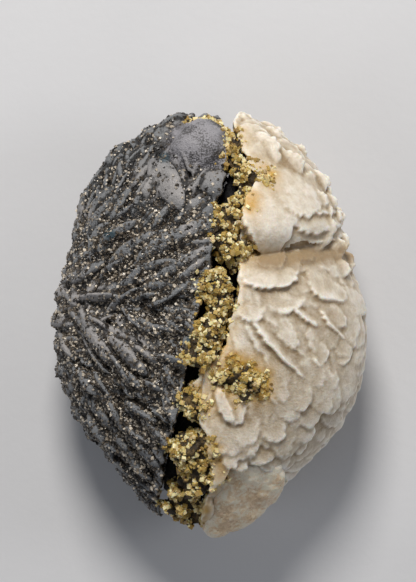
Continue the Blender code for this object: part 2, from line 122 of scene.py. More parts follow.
@dataclass(frozen=True)
class Rosette:
    """The dome that every blade grows from, by the same rule as the solids."""

    reach_mm: tuple = (31.4, 31.0, 38.2, 42.6, 39.0, 32.0, 31.4, 32.6, 35.2, 42.0, 34.8, 33.0)
    widest_z: float = 17.0 * MM
    front_rise: float = 24.0 * MM
    back_drop: float = 22.0 * MM
    blade_stand: float = 2.4 * MM
    fold_y: float = 13.4 * MM
    fold_slope: float = 0.10
    fold_width: float = 2.6 * MM
    fold_depth: float = 5.0 * MM
    fold_starts_x: float = 3.5 * MM

    def reach(self, theta: float) -> float:
        """How far the blade tips reach from the middle, at an angle round the showing side."""
        count = len(self.reach_mm)
        place = (theta % (2 * math.pi)) / (2 * math.pi) * count
        first = int(place) % count
        a, b, c, d = (self.reach_mm[(first + k) % count] * MM for k in (-1, 0, 1, 2))
        t = place - int(place)
        squared, cubed = 2 * a - 5 * b + 4 * c - d, 3 * b - a - 3 * c + d
        return 0.5 * (2 * b + (c - a) * t + squared * t**2 + cubed * t**3)

    def fold_drop(self, x: float, y: float) -> float:
        """How far the skin dips below the dome in the fold of the pale half."""
        off = (y - self.fold_y - self.fold_slope * x) / self.fold_width
        return self.fold_depth * math.exp(-off * off) * smooth_step(
            x, self.fold_starts_x, self.fold_starts_x + 5 * MM
        )

    def skin(self, theta: float, phi: float, inset: float = 0.0) -> Vector:
        """A point of the dome.

        Args:
            theta: angle round the showing side, from +X.
            phi: 0 where the dome is widest and 90 degrees at the front.
            inset: how far inside the blade tips.

        Returns:
            The point.
        """
        radius = (self.reach(theta) - inset) * math.cos(phi)
        rise = (self.front_rise if phi > 0 else self.back_drop) - inset
        x = radius * math.cos(theta)
        y = radius * math.sin(theta)
        z = self.widest_z + rise * math.sin(phi)
        if phi > 0:
            z -= self.fold_drop(x, y) * math.sin(phi)
        return Vector((x, y, z))

    def front_angles(self, x: float, y: float, clamped: bool = False) -> tuple[float, float] | None:
        """theta and phi of the skin point that shows at x, y from the front, or None outside the outline."""
        theta = math.atan2(y, x)
        share = math.hypot(x, y) / (self.reach(theta) - self.blade_stand)
        if share >= 0.98 and not clamped:
            return None
        return theta, math.acos(min(share, 0.98))

    def rolled_on(self, x: float, y: float) -> tuple[float, Vector]:
        """phi and the blades' base point at a place of the unrolled map, given in mm."""
        theta = math.atan2(y, x)
        phi = math.pi / 2 - math.hypot(x, y) * MM / self.reach(theta)
        return phi, self.skin(theta, phi, self.blade_stand)

    def outward(self, theta: float, phi: float) -> Vector:
        """The skin's normal."""
        step = 0.02
        tall = min(phi, math.pi / 2 - 2 * step)
        around = self.skin(theta + step, tall) - self.skin(theta - step, tall)
        up = self.skin(theta, tall + step) - self.skin(theta, tall - step)
        return around.cross(up).normalized()


def edge_x(edge: tuple, y: float) -> float:
    """x of one side of the groove at a height y, both in metres."""
    points = [(x * MM, h * MM) for x, h in edge]
    if y >= points[0][1]:
        return points[0][0]
    for (x_high, high), (x_low, low) in zip(points, points[1:]):
        if y >= low:
            return x_low + (x_high - x_low) * (y - low) / (high - low)
    return points[-1][0]


def inside(outline: tuple, x: float, y: float) -> bool:
    """Whether a point in metres is inside a flat outline in millimetres."""
    within = False
    for (ax, ay), (bx, by) in zip(outline, (*outline[1:], outline[0])):
        if (ay * MM > y) != (by * MM > y) and x / MM < ax + (bx - ax) * (y / MM - ay) / (by - ay):
            within = not within
    return within


@dataclass(frozen=True)
class Blade:
    """One plate of calcite: where it is, which way it lies, and its half sizes along, out and across."""

    centre: Vector
    along: Vector
    out: Vector
    size: tuple[float, float, float]
    kind: int = 0

    def across(self) -> Vector:
        """The direction through the plate."""
        return self.along.cross(self.out).normalized()

    def turn(self) -> tuple[float, float, float]:
        """The plate's Euler angles."""
        rows = Matrix((self.along, self.out, self.across()))
        return tuple(rows.transposed().to_euler())


@dataclass
class BladePlan:
    """Where the blades of one half grow: the big ones of the solids, and the finer ones between them."""

    rosette: Rosette
    side: Side
    edge: tuple
    clear_of: tuple = ()
    blades: list[Blade] = field(default_factory=list)
    large_mm: float = 5.2

    def room(self, x: float, y: float) -> float:
        """How far a point is from this half's side of the groove, or -1 where blades keep clear."""
        if any(inside(outline, x, y) for outline in self.clear_of):
            return -1.0
        return (x - edge_x(self.edge, y)) * self.side.value

    def grow(
        self, theta: float, phi: float, heading: float, lean: float,
        half_length: float, half_height: float, thickness: float, stand: float, chance: random.Random,
    ) -> None:
        """Adds a blade that grows out of the skin.

        Args:
            theta: where on the dome, round the showing side.
            phi: where on the dome, up from where it is widest.
            heading: the blade's long direction in the XY plane.
            lean: how far it tips over from standing straight out.
            half_length: half its length.
            half_height: half its other side.
            thickness: through its middle.
            stand: how far it stands out of the core.
            chance: what picks its plate.
        """
        normal = self.rosette.outward(theta, phi)
        direction = Vector((math.cos(heading), math.sin(heading), 0.0))
        along = direction - normal * direction.dot(normal)
        if along.length < 0.3:
            along = Vector((0, 0, 1)) - normal * normal.z
        along.normalize()
        out = (normal * math.cos(lean) + normal.cross(along) * math.sin(lean)).normalized()
        base = self.rosette.skin(theta, phi, self.rosette.blade_stand)
        centre = base + normal * stand - out * half_height
        # The solid's blade takes six draws for its corners: the first picks the plate here
        uneven = [chance.uniform(0.90, 1.10) for _ in range(6)]
        self.add(centre, along, out, (half_length, half_height, thickness / 2), int(uneven[0] * 1000))

    def add(self, centre: Vector, along: Vector, out: Vector, size: tuple, number: int) -> None:
        """Adds a blade, with few lobes on its rim where it is small and many where it is large.

        Args:
            centre: its middle.
            along: its long direction.
            out: the direction in which it stands out.
            size: half its length, half its height and half its thickness.
        """
        kind = number % 3 + (3 if size[0] > self.large_mm * MM else 0)
        self.blades.append(Blade(centre, along, out, size, kind))

    def rim_row(
        self, first: float, last: float, count: int, phi: float, seed: int,
        half_length: float, half_height: float, thickness: float, lean: float,
    ) -> None:
        """Blades that stand out round the outline, like the pages of a book.

        Args:
            first: the angle round the showing side of the first one, in degrees.
            last: the angle of the last one.
            count: how many there are.
            phi: how far up the dome they stand, in radians.
            seed: where their unevenness comes from.
            half_length: half their length, in mm.
            half_height: half their height, in mm.
            thickness: their thickness, in mm.
            lean: how far they tip over, in degrees.
        """
        chance = random.Random(seed)
        for k in range(count):
            theta = math.radians(first + (last - first) * (k + chance.uniform(-0.2, 0.2)) / (count - 1))
            tilt = math.radians(lean + chance.uniform(-14, 14))
            stand = self.rosette.blade_stand * chance.uniform(0.9, 1.15)
            self.grow(
                theta, phi + math.radians(chance.uniform(-6, 6)), theta, tilt,
                half_length * MM * chance.uniform(0.85, 1.15), half_height * MM,
                thickness * MM * chance.uniform(0.85, 1.2), stand, chance,
            )

    def by_hand(self, table: Iterable, seed: int) -> None:
        """Adds single blades.

        Args:
            table: for each one x, y, heading, lean, half length, half height, thickness and stand, in mm
                and degrees.
            seed: where their unevenness comes from.
        """
        chance = random.Random(seed)
        for x, y, heading, lean, long, tall, thick, stand in table:
            theta, phi = self.rosette.front_angles(x * MM, y * MM, clamped=True)
            self.grow(
                theta, phi, math.radians(heading), math.radians(lean), long * MM, tall * MM, thick * MM,
                stand * MM, chance,
            )

    def layered(self, chance: random.Random, copies: int, spread: float) -> None:
        """Lays thinner sister plates beside every blade so far, so that each reads as a stack of layers.

        Args:
            chance: where their unevenness comes from.
            copies: how many sister plates a blade has.
            spread: how far they may lie below the blade's rim, as a share of its height.
        """
        for blade in list(self.blades):
            length, height, half_thickness = blade.size
            for _ in range(copies):
                side = chance.choice((-1.0, 1.0)) * chance.uniform(0.35, 0.9) * half_thickness
                slide = chance.uniform(-0.35, 0.35) * length
                drop = chance.uniform(0.02, spread) * height
                twist = Matrix.Rotation(chance.uniform(-0.16, 0.16), 3, blade.across())
                centre = blade.centre + blade.across() * side + blade.along * slide - blade.out * drop
                size = (
                    length * chance.uniform(0.55, 0.9), height * chance.uniform(0.8, 0.98),
                    half_thickness * chance.uniform(0.45, 0.7),
                )
                if not any(inside(outline, centre.x, centre.y) for outline in self.clear_of):
                    self.add(centre, twist @ blade.along, twist @ blade.out, size, chance.randrange(3))


class ShapeKit:
    """What the kits of small shapes share. Each has a prefix for names and a seed."""

    prefix: str
    seed: int

    def shapes(self, chance: random.Random) -> Iterable[bmesh.types.BMesh]:
        raise NotImplementedError

    def build(self) -> Collection:
        """Makes the shapes as meshes in a collection of their own."""
        kit = bpy.data.collections.new(self.prefix + "_kit")
        for number, bm in enumerate(self.shapes(random.Random(self.seed))):
            kit.objects.link(mesh_object(f"{self.prefix}_{number:02d}", bm))
        return kit


@dataclass(frozen=True)
class PlateKit(ShapeKit):
    """The plate shapes that blades are made of: rounded, scalloped outlines with blunt, uneven rims."""

    prefix: str
    scallop: float
    squareness: float
    seed: int
    small_lobes: tuple = (6, 7, 8)
    large_lobes: tuple = (13, 15, 17)
    rings: tuple = ((0.34, 0.98), (0.62, 0.90), (0.80, 0.76), (0.92, 0.52), (1.0, 0.16))

    def outline(self, angle: float, share: float, lobes: int, phases: list[float]) -> float:
        """The plate's radius at an angle.

        Args:
            angle: the angle round the plate's middle.
            share: the ring's size as a share of the rim's.
            lobes: how many lobes the rim has.
            phases: three angles that make the plate uneven.

        Returns:
            The distance from the middle, in units of half the plate's size.
        """
        power = self.squareness
        box = (abs(math.cos(angle)) ** power + abs(math.sin(angle)) ** power) ** (-1 / power)
        warped = angle + 0.22 * math.sin(2 * angle + phases[1]) + 0.12 * math.sin(3 * angle + phases[2])
        notch = (1.0 - abs(math.sin(lobes * warped / 2 + phases[0]))) * share**8
        sway = 0.5 * math.sin(3 * angle + phases[1]) + 0.4 * math.sin(5 * angle + phases[2])
        return share * box * (1.0 - self.scallop * (notch + 0.8 * sway))

    def shapes(self, chance: random.Random) -> Iterable[bmesh.types.BMesh]:
        """The plates with few lobes, then those with many."""
        for lobes in (*self.small_lobes, *self.large_lobes):
            segments = 4 * lobes
            phases = [chance.uniform(0, math.pi) for _ in range(3)]
            tilt = (chance.uniform(-0.25, 0.25), chance.uniform(-0.25, 0.25))
            bm = bmesh.new()
            middle = {sign: bm.verts.new((0.0, 0.0, sign)) for sign in (1, -1)}
            loops = {1: [], -1: []}
            for share, height in self.rings:
                for sign in (1, -1):
                    ring = []
                    for k in range(segments):
                        angle = 2 * math.pi * k / segments
                        radius = self.outline(angle, share, lobes, phases)
                        x, y = radius * math.cos(angle), radius * math.sin(angle)
                        slope = 1.0 + (tilt[0] * x + tilt[1] * y) * (1 - share)
                        ring.append(bm.verts.new((x, y, sign * height * slope)))
                    loops[sign].append(ring)
            for sign in (1, -1):
                for k in range(segments):
                    after = (k + 1) % segments
                    bm.faces.new((middle[sign], loops[sign][0][k], loops[sign][0][after]))
                    for inner, outer in zip(loops[sign], loops[sign][1:]):
                        bm.faces.new((inner[k], outer[k], outer[after], inner[after]))
            for k in range(segments):
                after = (k + 1) % segments
                bm.faces.new((loops[1][-1][k], loops[-1][-1][k], loops[-1][-1][after], loops[1][-1][after]))
            bmesh.ops.recalc_face_normals(bm, faces=bm.faces)
            yield bm


@dataclass(frozen=True)
class RhombKit(ShapeKit):
    """Small rhombs and grains: cubes pulled along a diagonal, with jittered corners."""

    prefix: str
    pull: float
    jitter: float
    seed: int
    kinds: int = 8

    def shapes(self, chance: random.Random) -> Iterable[bmesh.types.BMesh]:
        """The rhombs, each uneven in its own way."""
        diagonal = Vector((1, 1, 1)).normalized()
        for _ in range(self.kinds):
            bm = bmesh.new()
            bmesh.ops.create_cube(bm, size=1.0)
            for vertex in bm.verts:
                vertex.co += diagonal * vertex.co.dot(diagonal) * self.pull
                vertex.co *= 1.0 + chance.uniform(-self.jitter, self.jitter)
            bmesh.ops.recalc_face_normals(bm, faces=bm.faces)
            yield bm


@dataclass(frozen=True)
class FibreKit(ShapeKit):
    """Bent needles of boulangerite, one unit long."""

    prefix: str = "fibre"
    kinds: int = 5
    sides: int = 4
    steps: int = 5
    radius: float = 0.02
    seed: int = 77

    def shapes(self, chance: random.Random) -> Iterable[bmesh.types.BMesh]:
        """The needles, each with a bend of its own."""
        for _ in range(self.kinds):
            bend = Vector((chance.uniform(-0.5, 0.5), chance.uniform(-0.5, 0.5), 0.0))
            bm = bmesh.new()
            rings = []
            for step in range(self.steps + 1):
                t = step / self.steps
                middle = Vector((0, 0, t)) + bend * t * t
                width = self.radius * (1.0 - 0.75 * t)
                rings.append([
                    bm.verts.new(middle + Vector((math.cos(a), math.sin(a), 0.0)) * width)
                    for a in (2 * math.pi * k / self.sides for k in range(self.sides))
                ])
            for low, high in zip(rings, rings[1:]):
                for k in range(self.sides):
                    after = (k + 1) % self.sides
                    bm.faces.new((low[k], low[after], high[after], high[k]))
            bm.faces.new(list(reversed(rings[0])))
            bm.faces.new(rings[-1])
            yield bm


def mesh_object(name: str, bm: bmesh.types.BMesh) -> Object:
    """Turns a bmesh into an object that isn't in the scene yet."""
    mesh = bpy.data.meshes.new(name)
    bm.to_mesh(mesh)
    bm.free()
    return bpy.data.objects.new(name, mesh)


def show(obj: Object) -> Object:
    """Puts an object in the scene."""
    bpy.context.scene.collection.objects.link(obj)
    return obj


def discard(*objects: Object) -> None:
    """Removes helper objects."""
    for obj in objects:
        bpy.data.objects.remove(obj, do_unlink=True)


def discard_kit(kit: Collection) -> None:
    """Removes a kit and its shapes."""
    discard(*kit.objects)
    bpy.data.collections.remove(kit)


def evaluated(obj: Object, name: str) -> Object:
    """The object with its modifiers applied, as a plain mesh object that takes its place."""
    graph = bpy.context.evaluated_depsgraph_get()
    mesh = bpy.data.meshes.new_from_object(obj.evaluated_get(graph))
    mesh.name = name
    discard(obj)
    return show(bpy.data.objects.new(name, mesh))


def points_of(mesh: Mesh) -> np.ndarray:
    """A mesh's points as rows of x, y and z."""
    flat = np.empty(len(mesh.vertices) * 3)
    mesh.vertices.foreach_get("co", flat)
    return flat.reshape(-1, 3)


def set_points(mesh: Mesh, points: np.ndarray) -> None:
    """Moves a mesh's points."""
    mesh.vertices.foreach_set("co", points.ravel())
    mesh.update()


def normals_of(mesh: Mesh) -> np.ndarray:
    """A mesh's point normals as rows."""
    flat = np.empty(len(mesh.vertices) * 3)
    mesh.vertex_normals.foreach_get("vector", flat)
    return flat.reshape(-1, 3)


def paint(mesh: Mesh, name: str, values: np.ndarray) -> None:
    """Stores one number for each point as an attribute that materials and trees read."""
    attribute = mesh.attributes.get(name) or mesh.attributes.new(name, "FLOAT", "POINT")
    attribute.data.foreach_set("value", np.clip(values, 0.0, 1.0).astype(np.float32))


def stored(mesh: Mesh, name: str) -> np.ndarray:
    """The numbers of an attribute."""
    values = np.empty(len(mesh.vertices), dtype=np.float32)
    mesh.attributes[name].data.foreach_get("value", values)
    return values


def averaged(mesh: Mesh, points: np.ndarray, rounds: int) -> np.ndarray:
    """The points after some rounds of moving each one to the middle of its neighbours."""
    pairs = np.empty(len(mesh.edges) * 2, dtype=np.int64)
    mesh.edges.foreach_get("vertices", pairs)
    one, other = pairs[0::2], pairs[1::2]
    total = len(points)
    degree = np.maximum(np.bincount(one, minlength=total) + np.bincount(other, minlength=total), 1)
    for _ in range(rounds):
        moved = np.empty_like(points)
        for axis in range(3):
            column = points[:, axis]
            moved[:, axis] = (
                np.bincount(one, column[other], total) + np.bincount(other, column[one], total)
            ) / degree
        points = 0.5 * points + 0.5 * moved
    return points


def standing(mesh: Mesh, rounds: int, scale: float) -> np.ndarray:
    """How far each point stands out of its smoothed surroundings, from 0 in a hollow to 1 on a ridge."""
    points = points_of(mesh)
    out = np.einsum("ij,ij->i", points - averaged(mesh, points, rounds), normals_of(mesh))
    return 0.5 + 0.5 * np.clip(out / scale, -1.0, 1.0)


def kept_in_box(points: np.ndarray) -> np.ndarray:
    """Points held inside the box of the solids."""
    low, high = (np.array(corner) for corner in CAD_BOUNDS)
    margin = 0.02 * MM
    return np.clip(points, low + [margin, margin, 0.0], high - margin)


class Tree:
    """A node tree under construction, with short calls for adding nodes and joining them."""

    def __init__(self, tree: NodeTree) -> None:
        """Works on a tree that exists."""
        self.tree = tree

    def socket(self, name: str, kind: str, way: str = "INPUT", value: object = None) -> None:
        """Adds a named socket to the tree's interface.

        Args:
            name: the socket's name.
            kind: its type.
            way: whether it is an INPUT or an OUTPUT.
            value: its usual value.
        """
        made = self.tree.interface.new_socket(name=name, in_out=way, socket_type=kind)
        if value is not None:
            made.default_value = value

    def add(self, kind: str, settings: dict | None = None, **inputs: object) -> Node:
        """Adds a node.

        Args:
            kind: the node's type.
            settings: its properties.
            inputs: values or sockets for its inputs, with _ for a space; i and a number names one by place.

        Returns:
            The node.
        """
        node = self.tree.nodes.new(kind)
        for key, value in (settings or {}).items():
            setattr(node, key, value)
        for key, value in inputs.items():
            place = int(key[1:]) if key[0] == "i" and key[1:].isdigit() else key.replace("_", " ")
            target = node.inputs[place]
            if isinstance(value, NodeSocket):
                self.tree.links.new(value, target)
            else:
                target.default_value = value
        return node

    def join(self, source: NodeSocket, target: NodeSocket) -> None:
        """Links two sockets."""
        self.tree.links.new(source, target)

    def math(self, operation: str, a: object, b: object = 0.0, clamp: bool = False) -> NodeSocket:
        """Adds a Math node and gives its result."""
        return self.add("ShaderNodeMath", {"operation": operation, "use_clamp": clamp}, i0=a, i1=b).outputs[0]

    def plus(self, a: object, b: object, clamp: bool = False) -> NodeSocket:
        """Adds two values."""
        return self.math("ADD", a, b, clamp)

    def times(self, a: object, b: object, clamp: bool = False) -> NodeSocket:
        """Multiplies two values."""
        return self.math("MULTIPLY", a, b, clamp)

    def swing(self, value: NodeSocket, amount: object, middle: float = 0.5) -> NodeSocket:
        """How far a value is above or below its middle, times an amount."""
        return self.times(self.math("SUBTRACT", value, middle), amount)

    def scaled(self, vector: NodeSocket, factor: NodeSocket) -> NodeSocket:
        """Scales a vector."""
        return self.add("ShaderNodeVectorMath", {"operation": "SCALE"}, i0=vector, Scale=factor).outputs[0]

    def ranged(
        self, value: object, low: float, high: float, to_low: float = 0.0, to_high: float = 1.0
    ) -> NodeSocket:
        """Adds a Map Range node, held at its ends, and gives its result."""
        return self.add("ShaderNodeMapRange", i0=value, i1=low, i2=high, i3=to_low, i4=to_high).outputs[0]

    def blend(self, factor: object, a: object, b: object) -> NodeSocket:
        """Adds a Mix node for colours and gives its result."""
        return self.add("ShaderNodeMix", {"data_type": "RGBA"}, i0=factor, i6=a, i7=b).outputs[2]


class GeometryTree(Tree):
    """A Geometry Nodes tree under construction."""

    def __init__(self, name: str, numbers: dict[str, float], kit: bool = True) -> None:
        """Starts a tree with a geometry coming in and going out, and a material coming in.

        Args:
            name: the tree's name.
            numbers: its inputs that are numbers, with their usual values.
            kit: whether a kit of shapes comes in too.
        """
        super().__init__(bpy.data.node_groups.new(name, "GeometryNodeTree"))
        self.socket("Geometry", "NodeSocketGeometry")
        self.socket("Geometry", "NodeSocketGeometry", "OUTPUT")
        for label, value in numbers.items():
            self.socket(label, "NodeSocketInt" if isinstance(value, int) else "NodeSocketFloat", value=value)
        if kit:
            self.socket("Kit", "NodeSocketCollection")
        self.socket("Material", "NodeSocketMaterial")
        self.start = self.add("NodeGroupInput").outputs

    def stored(self, name: str, kind: str) -> NodeSocket:
        """Reads an attribute of the geometry."""
        node = self.add("GeometryNodeInputNamedAttribute", {"data_type": kind}, Name=name)
        return node.outputs["Attribute"]

    def chance(self, kind: str, output: int, seed: int, **ends: object) -> NodeSocket:
        """A random value for each shape, between the two ends that are given for their sockets."""
        return self.add("FunctionNodeRandomValue", {"data_type": kind}, Seed=seed, **ends).outputs[output]

    def placed(self, points: NodeSocket, turn: NodeSocket, size: NodeSocket, kind: NodeSocket) -> NodeSocket:
        """Args:
            points: the points.
            turn: each shape's rotation.
            size: each shape's size in three directions.

        Returns:
            The shapes as instances.
        """
        kit = self.add(
            "GeometryNodeCollectionInfo", Collection=self.start["Kit"], Separate_Children=True,
            Reset_Children=True,
        )
        return self.add(
            "GeometryNodeInstanceOnPoints", Points=points, Instance=kit.outputs[0], Pick_Instance=True,
            Instance_Index=kind, Rotation=turn, Scale=size,
        ).outputs[0]

    def moved(self, geometry: NodeSocket, offset: NodeSocket) -> NodeSocket:
        """Moves a geometry's points."""
        return self.add("GeometryNodeSetPosition", Geometry=geometry, Offset=offset).outputs[0]

    def finish(self, geometry: NodeSocket) -> NodeTree:
        """Ends the tree with plain meshes that have the material, and gives it."""
        real = self.add("GeometryNodeRealizeInstances", Geometry=geometry).outputs[0]
        dressed = self.add("GeometryNodeSetMaterial", Geometry=real, Material=self.start["Material"])
        self.add("NodeGroupOutput", i0=dressed.outputs[0])
        return self.tree


def assembly_tree() -> NodeTree:
    """The tree that sets a plate of a kit on every point, by the turn, size and kind stored there."""
    tree = GeometryTree("blade_assembly", {})
    turn = tree.add("FunctionNodeEulerToRotation", i0=tree.stored("turn", "FLOAT_VECTOR")).outputs[0]
    size, kind = tree.stored("size", "FLOAT_VECTOR"), tree.stored("kind", "INT")
    return tree.finish(tree.placed(tree.start["Geometry"], turn, size, kind))


def relief_tree() -> NodeTree:
    """The tree that roughens a surface along its normals with two sizes of noise and rounded lumps."""
    tree = GeometryTree("rough_relief", {
        "Broad": 3.0, "Broad Height": 0.2, "Fine": 1.0, "Fine Height": 0.1, "Lump": 2.0, "Lump Height": 0.0,
        "Inset": 0.0,
    }, kit=False)
    offsets = []
    for size in ("Broad", "Fine"):
        scale = tree.math("DIVIDE", 1.0 / MM, tree.start[size])
        noise = tree.add("ShaderNodeTexNoise", Scale=scale, Detail=2.0)
        offsets.append(tree.swing(noise.outputs[0], tree.times(tree.start[size + " Height"], 2 * MM)))
    cells = tree.add("ShaderNodeTexVoronoi", Scale=tree.math("DIVIDE", 1.0 / MM, tree.start["Lump"]))
    rounded = tree.math("SUBTRACT", 0.55, cells.outputs["Distance"])
    lumps = tree.times(rounded, tree.times(tree.start["Lump Height"], MM))
    total = tree.plus(tree.plus(*offsets), tree.plus(lumps, tree.times(tree.start["Inset"], -MM)))
    push = tree.scaled(tree.add("GeometryNodeInputNormal").outputs[0], total)
    return tree.finish(tree.moved(tree.start["Geometry"], push))


def scatter_tree() -> NodeTree:
    tree = GeometryTree("strewn_grains", {
        "Density": 1.0, "Smallest": 0.3, "Largest": 0.6, "Sunk": 0.1, "Tilt": 3.14, "Apart": 0.2, "Seed": 1,
    })
    start = tree.start
    density = tree.math("DIVIDE", start["Density"], MM * MM)
    spread = tree.add(
        "GeometryNodeDistributePointsOnFaces", {"distribute_method": "POISSON"}, Mesh=start["Geometry"],
        Distance_Min=tree.times(start["Apart"], MM), Density_Max=density,
        Density_Factor=tree.stored("cover", "FLOAT"), Seed=start["Seed"],
    ).outputs
    lean = tree.times(start["Tilt"], -1.0)
    low = tree.add("ShaderNodeCombineXYZ", X=lean, Y=lean, Z=-math.pi).outputs[0]
    high = tree.add("ShaderNodeCombineXYZ", X=start["Tilt"], Y=start["Tilt"], Z=math.pi).outputs[0]
    euler = tree.add("FunctionNodeEulerToRotation", i0=tree.chance("FLOAT_VECTOR", 0, 3, i0=low, i1=high))
    turn = tree.add(
        "FunctionNodeRotateRotation", {"rotation_space": "LOCAL"}, Rotation=spread["Rotation"],
        Rotate_By=euler.outputs[0],
    ).outputs[0]
    skewed = tree.math("POWER", tree.chance("FLOAT", 1, 5, i2=0.0, i3=1.0), 2.0)
    span = tree.math("SUBTRACT", start["Largest"], start["Smallest"])
    size = tree.times(tree.plus(tree.times(skewed, span), start["Smallest"]), MM)
    stretch = tree.chance("FLOAT_VECTOR", 0, 8, i0=(0.75, 0.75, 0.75), i1=(1.25, 1.25, 1.25))
    drop = tree.scaled(spread["Normal"], tree.times(size, tree.times(start["Sunk"], -1.0)))
    which = tree.chance("INT", 2, 11, i4=0, i5=64)
    grains = tree.placed(tree.moved(spread["Points"], drop), turn, tree.scaled(stretch, size), which)
    toned = tree.add(
        "GeometryNodeStoreNamedAttribute", {"data_type": "FLOAT", "domain": "INSTANCE"}, Geometry=grains,
        Name="tone", Value=tree.chance("FLOAT", 1, 17, i2=0.0, i3=1.0),
    )
    return tree.finish(toned.outputs[0])


def grown(obj: Object, tree: NodeTree, name: str, **values: object) -> Object:
    """Runs a tree on an object, with the tree's inputs set by their sockets' identifiers.

    Args:
        obj: the object, which is used up.
        tree: the tree.
        name: the result's name.
        values: the tree's inputs by name, with _ for a space.

    Returns:
        The result as a plain mesh object.
    """
    modifier = obj.modifiers.new(tree.name, "NODES")
    modifier.node_group = tree
    for item in tree.interface.items_tree:
        label = item.name.replace(" ", "_")
        if item.item_type == "SOCKET" and item.in_out == "INPUT" and label in values:
            modifier[item.identifier] = values[label]
    return evaluated(obj, name)


@dataclass
class Workshop:
    """The trees and shared steps that the sub-assemblies use."""

    assembly: NodeTree = field(default_factory=assembly_tree)
    relief: NodeTree = field(default_factory=relief_tree)
    scatter: NodeTree = field(default_factory=scatter_tree)

    def assemble(
        self, name: str, blades: Iterable[Blade], kit: Collection, material: Material
    ) -> Object:
        """Makes one mesh of overlapping plates from a plan.

        Args:
            name: the mesh's name.
            blades: the plan's blades.
            kit: the plate shapes.
            material: their material.

        Returns:
            The plates as one mesh object.
        """
        blades = list(blades)
        mesh = bpy.data.meshes.new(name)
        mesh.from_pydata([blade.centre for blade in blades], [], [])
        for label, rows in (("turn", [b.turn() for b in blades]), ("size", [b.size for b in blades])):
            mesh.attributes.new(label, "FLOAT_VECTOR", "POINT").data.foreach_set("vector", np.ravel(rows))
        mesh.attributes.new("kind", "INT", "POINT").data.foreach_set("value", [b.kind for b in blades])
        carrier = show(bpy.data.objects.new(name + "_points", mesh))
        return grown(carrier, self.assembly, name, Kit=kit, Material=material)

    def fuse(self, objects: list[Object], name: str, voxel_mm: float) -> Object:
        """Fuses overlapping closed meshes into one even skin."""
        bm = bmesh.new()
        for obj in objects:
            bm.from_mesh(obj.data)
        discard(*objects)
        joined = show(mesh_object(name + "_rough", bm))
        remesh = joined.modifiers.new("fuse", "REMESH")
        remesh.mode = "VOXEL"
        remesh.voxel_size = voxel_mm * MM
        remesh.use_smooth_shade = True
        return evaluated(joined, name)

    def cut(self, obj: Object, steps: list[tuple[str, Object]]) -> Object:
        """Cuts a closed mesh with blocks, which are then removed."""
        for operation, block in steps:
            modifier = obj.modifiers.new(operation.lower(), "BOOLEAN")
            modifier.operation = operation
            modifier.solver = "MANIFOLD"
            modifier.object = block
        done = evaluated(obj, obj.name)
        discard(*(block for _, block in steps))
        return done

    def roughen(
        self, obj: Object, material: Material,
        broad: float, broad_height: float, fine: float, fine_height: float,
        lump: float = 2.0, lump_height: float = 0.0, inset: float = 0.0,
    ) -> Object:
        """Roughens a skin with two sizes of noise and with lumps; all lengths are in mm.

        Args:
            obj: the skin.
            material: its material.
            broad: the size of the broad noise.
            broad_height: how far it pushes the skin in or out.
            fine: the size of the fine noise.
            fine_height: how far it pushes.
            lump: the size of the lumps.
            lump_height: how high they are.
            inset: how far the whole skin sinks in.

        Returns:
            The roughened skin.
        """
        return grown(
            obj, self.relief, obj.name, Broad=broad, Broad_Height=broad_height, Fine=fine,
            Fine_Height=fine_height, Lump=lump, Lump_Height=lump_height, Inset=inset, Material=material,
        )

    def lighten(self, obj: Object, limit: int) -> Object:
        """Thins out the triangles of a skin where it has more than a limit."""
        obj.data.calc_loop_triangles()
        count = len(obj.data.loop_triangles)
        if count <= limit:
            return obj
        thin = obj.modifiers.new("thin", "DECIMATE")
        thin.ratio = limit / count
        thin.use_collapse_triangulate = True
        return evaluated(obj, obj.name)

    def strew(
        self, ground: Object, name: str, kit: Collection, material: Material,
        cover: np.ndarray, **values: float,
    ) -> Object:
        """Args:
            ground: the surface.
            name: the new piece's name.
            kit: the shapes.
            material: their material.
            cover: how thickly they lie at each point of the surface, from 0 to 1.
            values: the tree's other inputs.

        Returns:
            The shapes as one mesh object.
        """
        carrier = show(bpy.data.objects.new(name + "_ground", ground.data.copy()))
        paint(carrier.data, "cover", cover)
        return grown(carrier, self.scatter, name, Kit=kit, Material=material, **values)


def block_from_outline(outline: list[tuple[float, float]], low: float, high: float) -> Object:
    """A tall closed block from a flat outline in millimetres, as a filled curve made a mesh."""
    curve = bpy.data.curves.new("block", "CURVE")
    curve.dimensions = "2D"
    curve.fill_mode = "BOTH"
    curve.extrude = (high - low) / 2
    spline = curve.splines.new("POLY")
    spline.points.add(len(outline) - 1)
    for point, (x, y) in zip(spline.points, outline):
        point.co = (x * MM, y * MM, 0.0, 1.0)
    spline.use_cyclic_u = True
    drawn = show(bpy.data.objects.new("block_outline", curve))
    graph = bpy.context.evaluated_depsgraph_get()
    bm = bmesh.new()
    bm.from_mesh(bpy.data.meshes.new_from_object(drawn.evaluated_get(graph)))
    bmesh.ops.remove_doubles(bm, verts=bm.verts, dist=0.002 * MM)
    bmesh.ops.translate(bm, verts=bm.verts, vec=(0.0, 0.0, (high + low) / 2))
    bmesh.ops.recalc_face_normals(bm, faces=bm.faces)
    discard(drawn)
    return show(mesh_object("block", bm))


def half_block(edge: tuple, side: Side, seed: int) -> Object:
    """The block that one half stays in, with a wavering side along the groove."""
    chance = random.Random(seed)
    wavy = []
    for (x_high, high), (x_low, low) in zip(edge, edge[1:]):
        steps = max(1, round((high - low) / 1.1))
        for k in range(steps):
            t = k / steps
            waver = chance.uniform(-0.15, 0.75) * side.value
            wavy.append((x_high + (x_low - x_high) * t + waver, high + (low - high) * t))
    wavy.append(edge[-1])
    far = 80.0
    return block_from_outline([*wavy, (far * side.value, -far), (far * side.value, far)], -20 * MM, 80 * MM)


def rock_block() -> Object:
    """The block below the flat back."""
    far = 80.0
    return block_from_outline([(-far, -far), (far, -far), (far, far), (-far, far)], -60 * MM, 0.0)


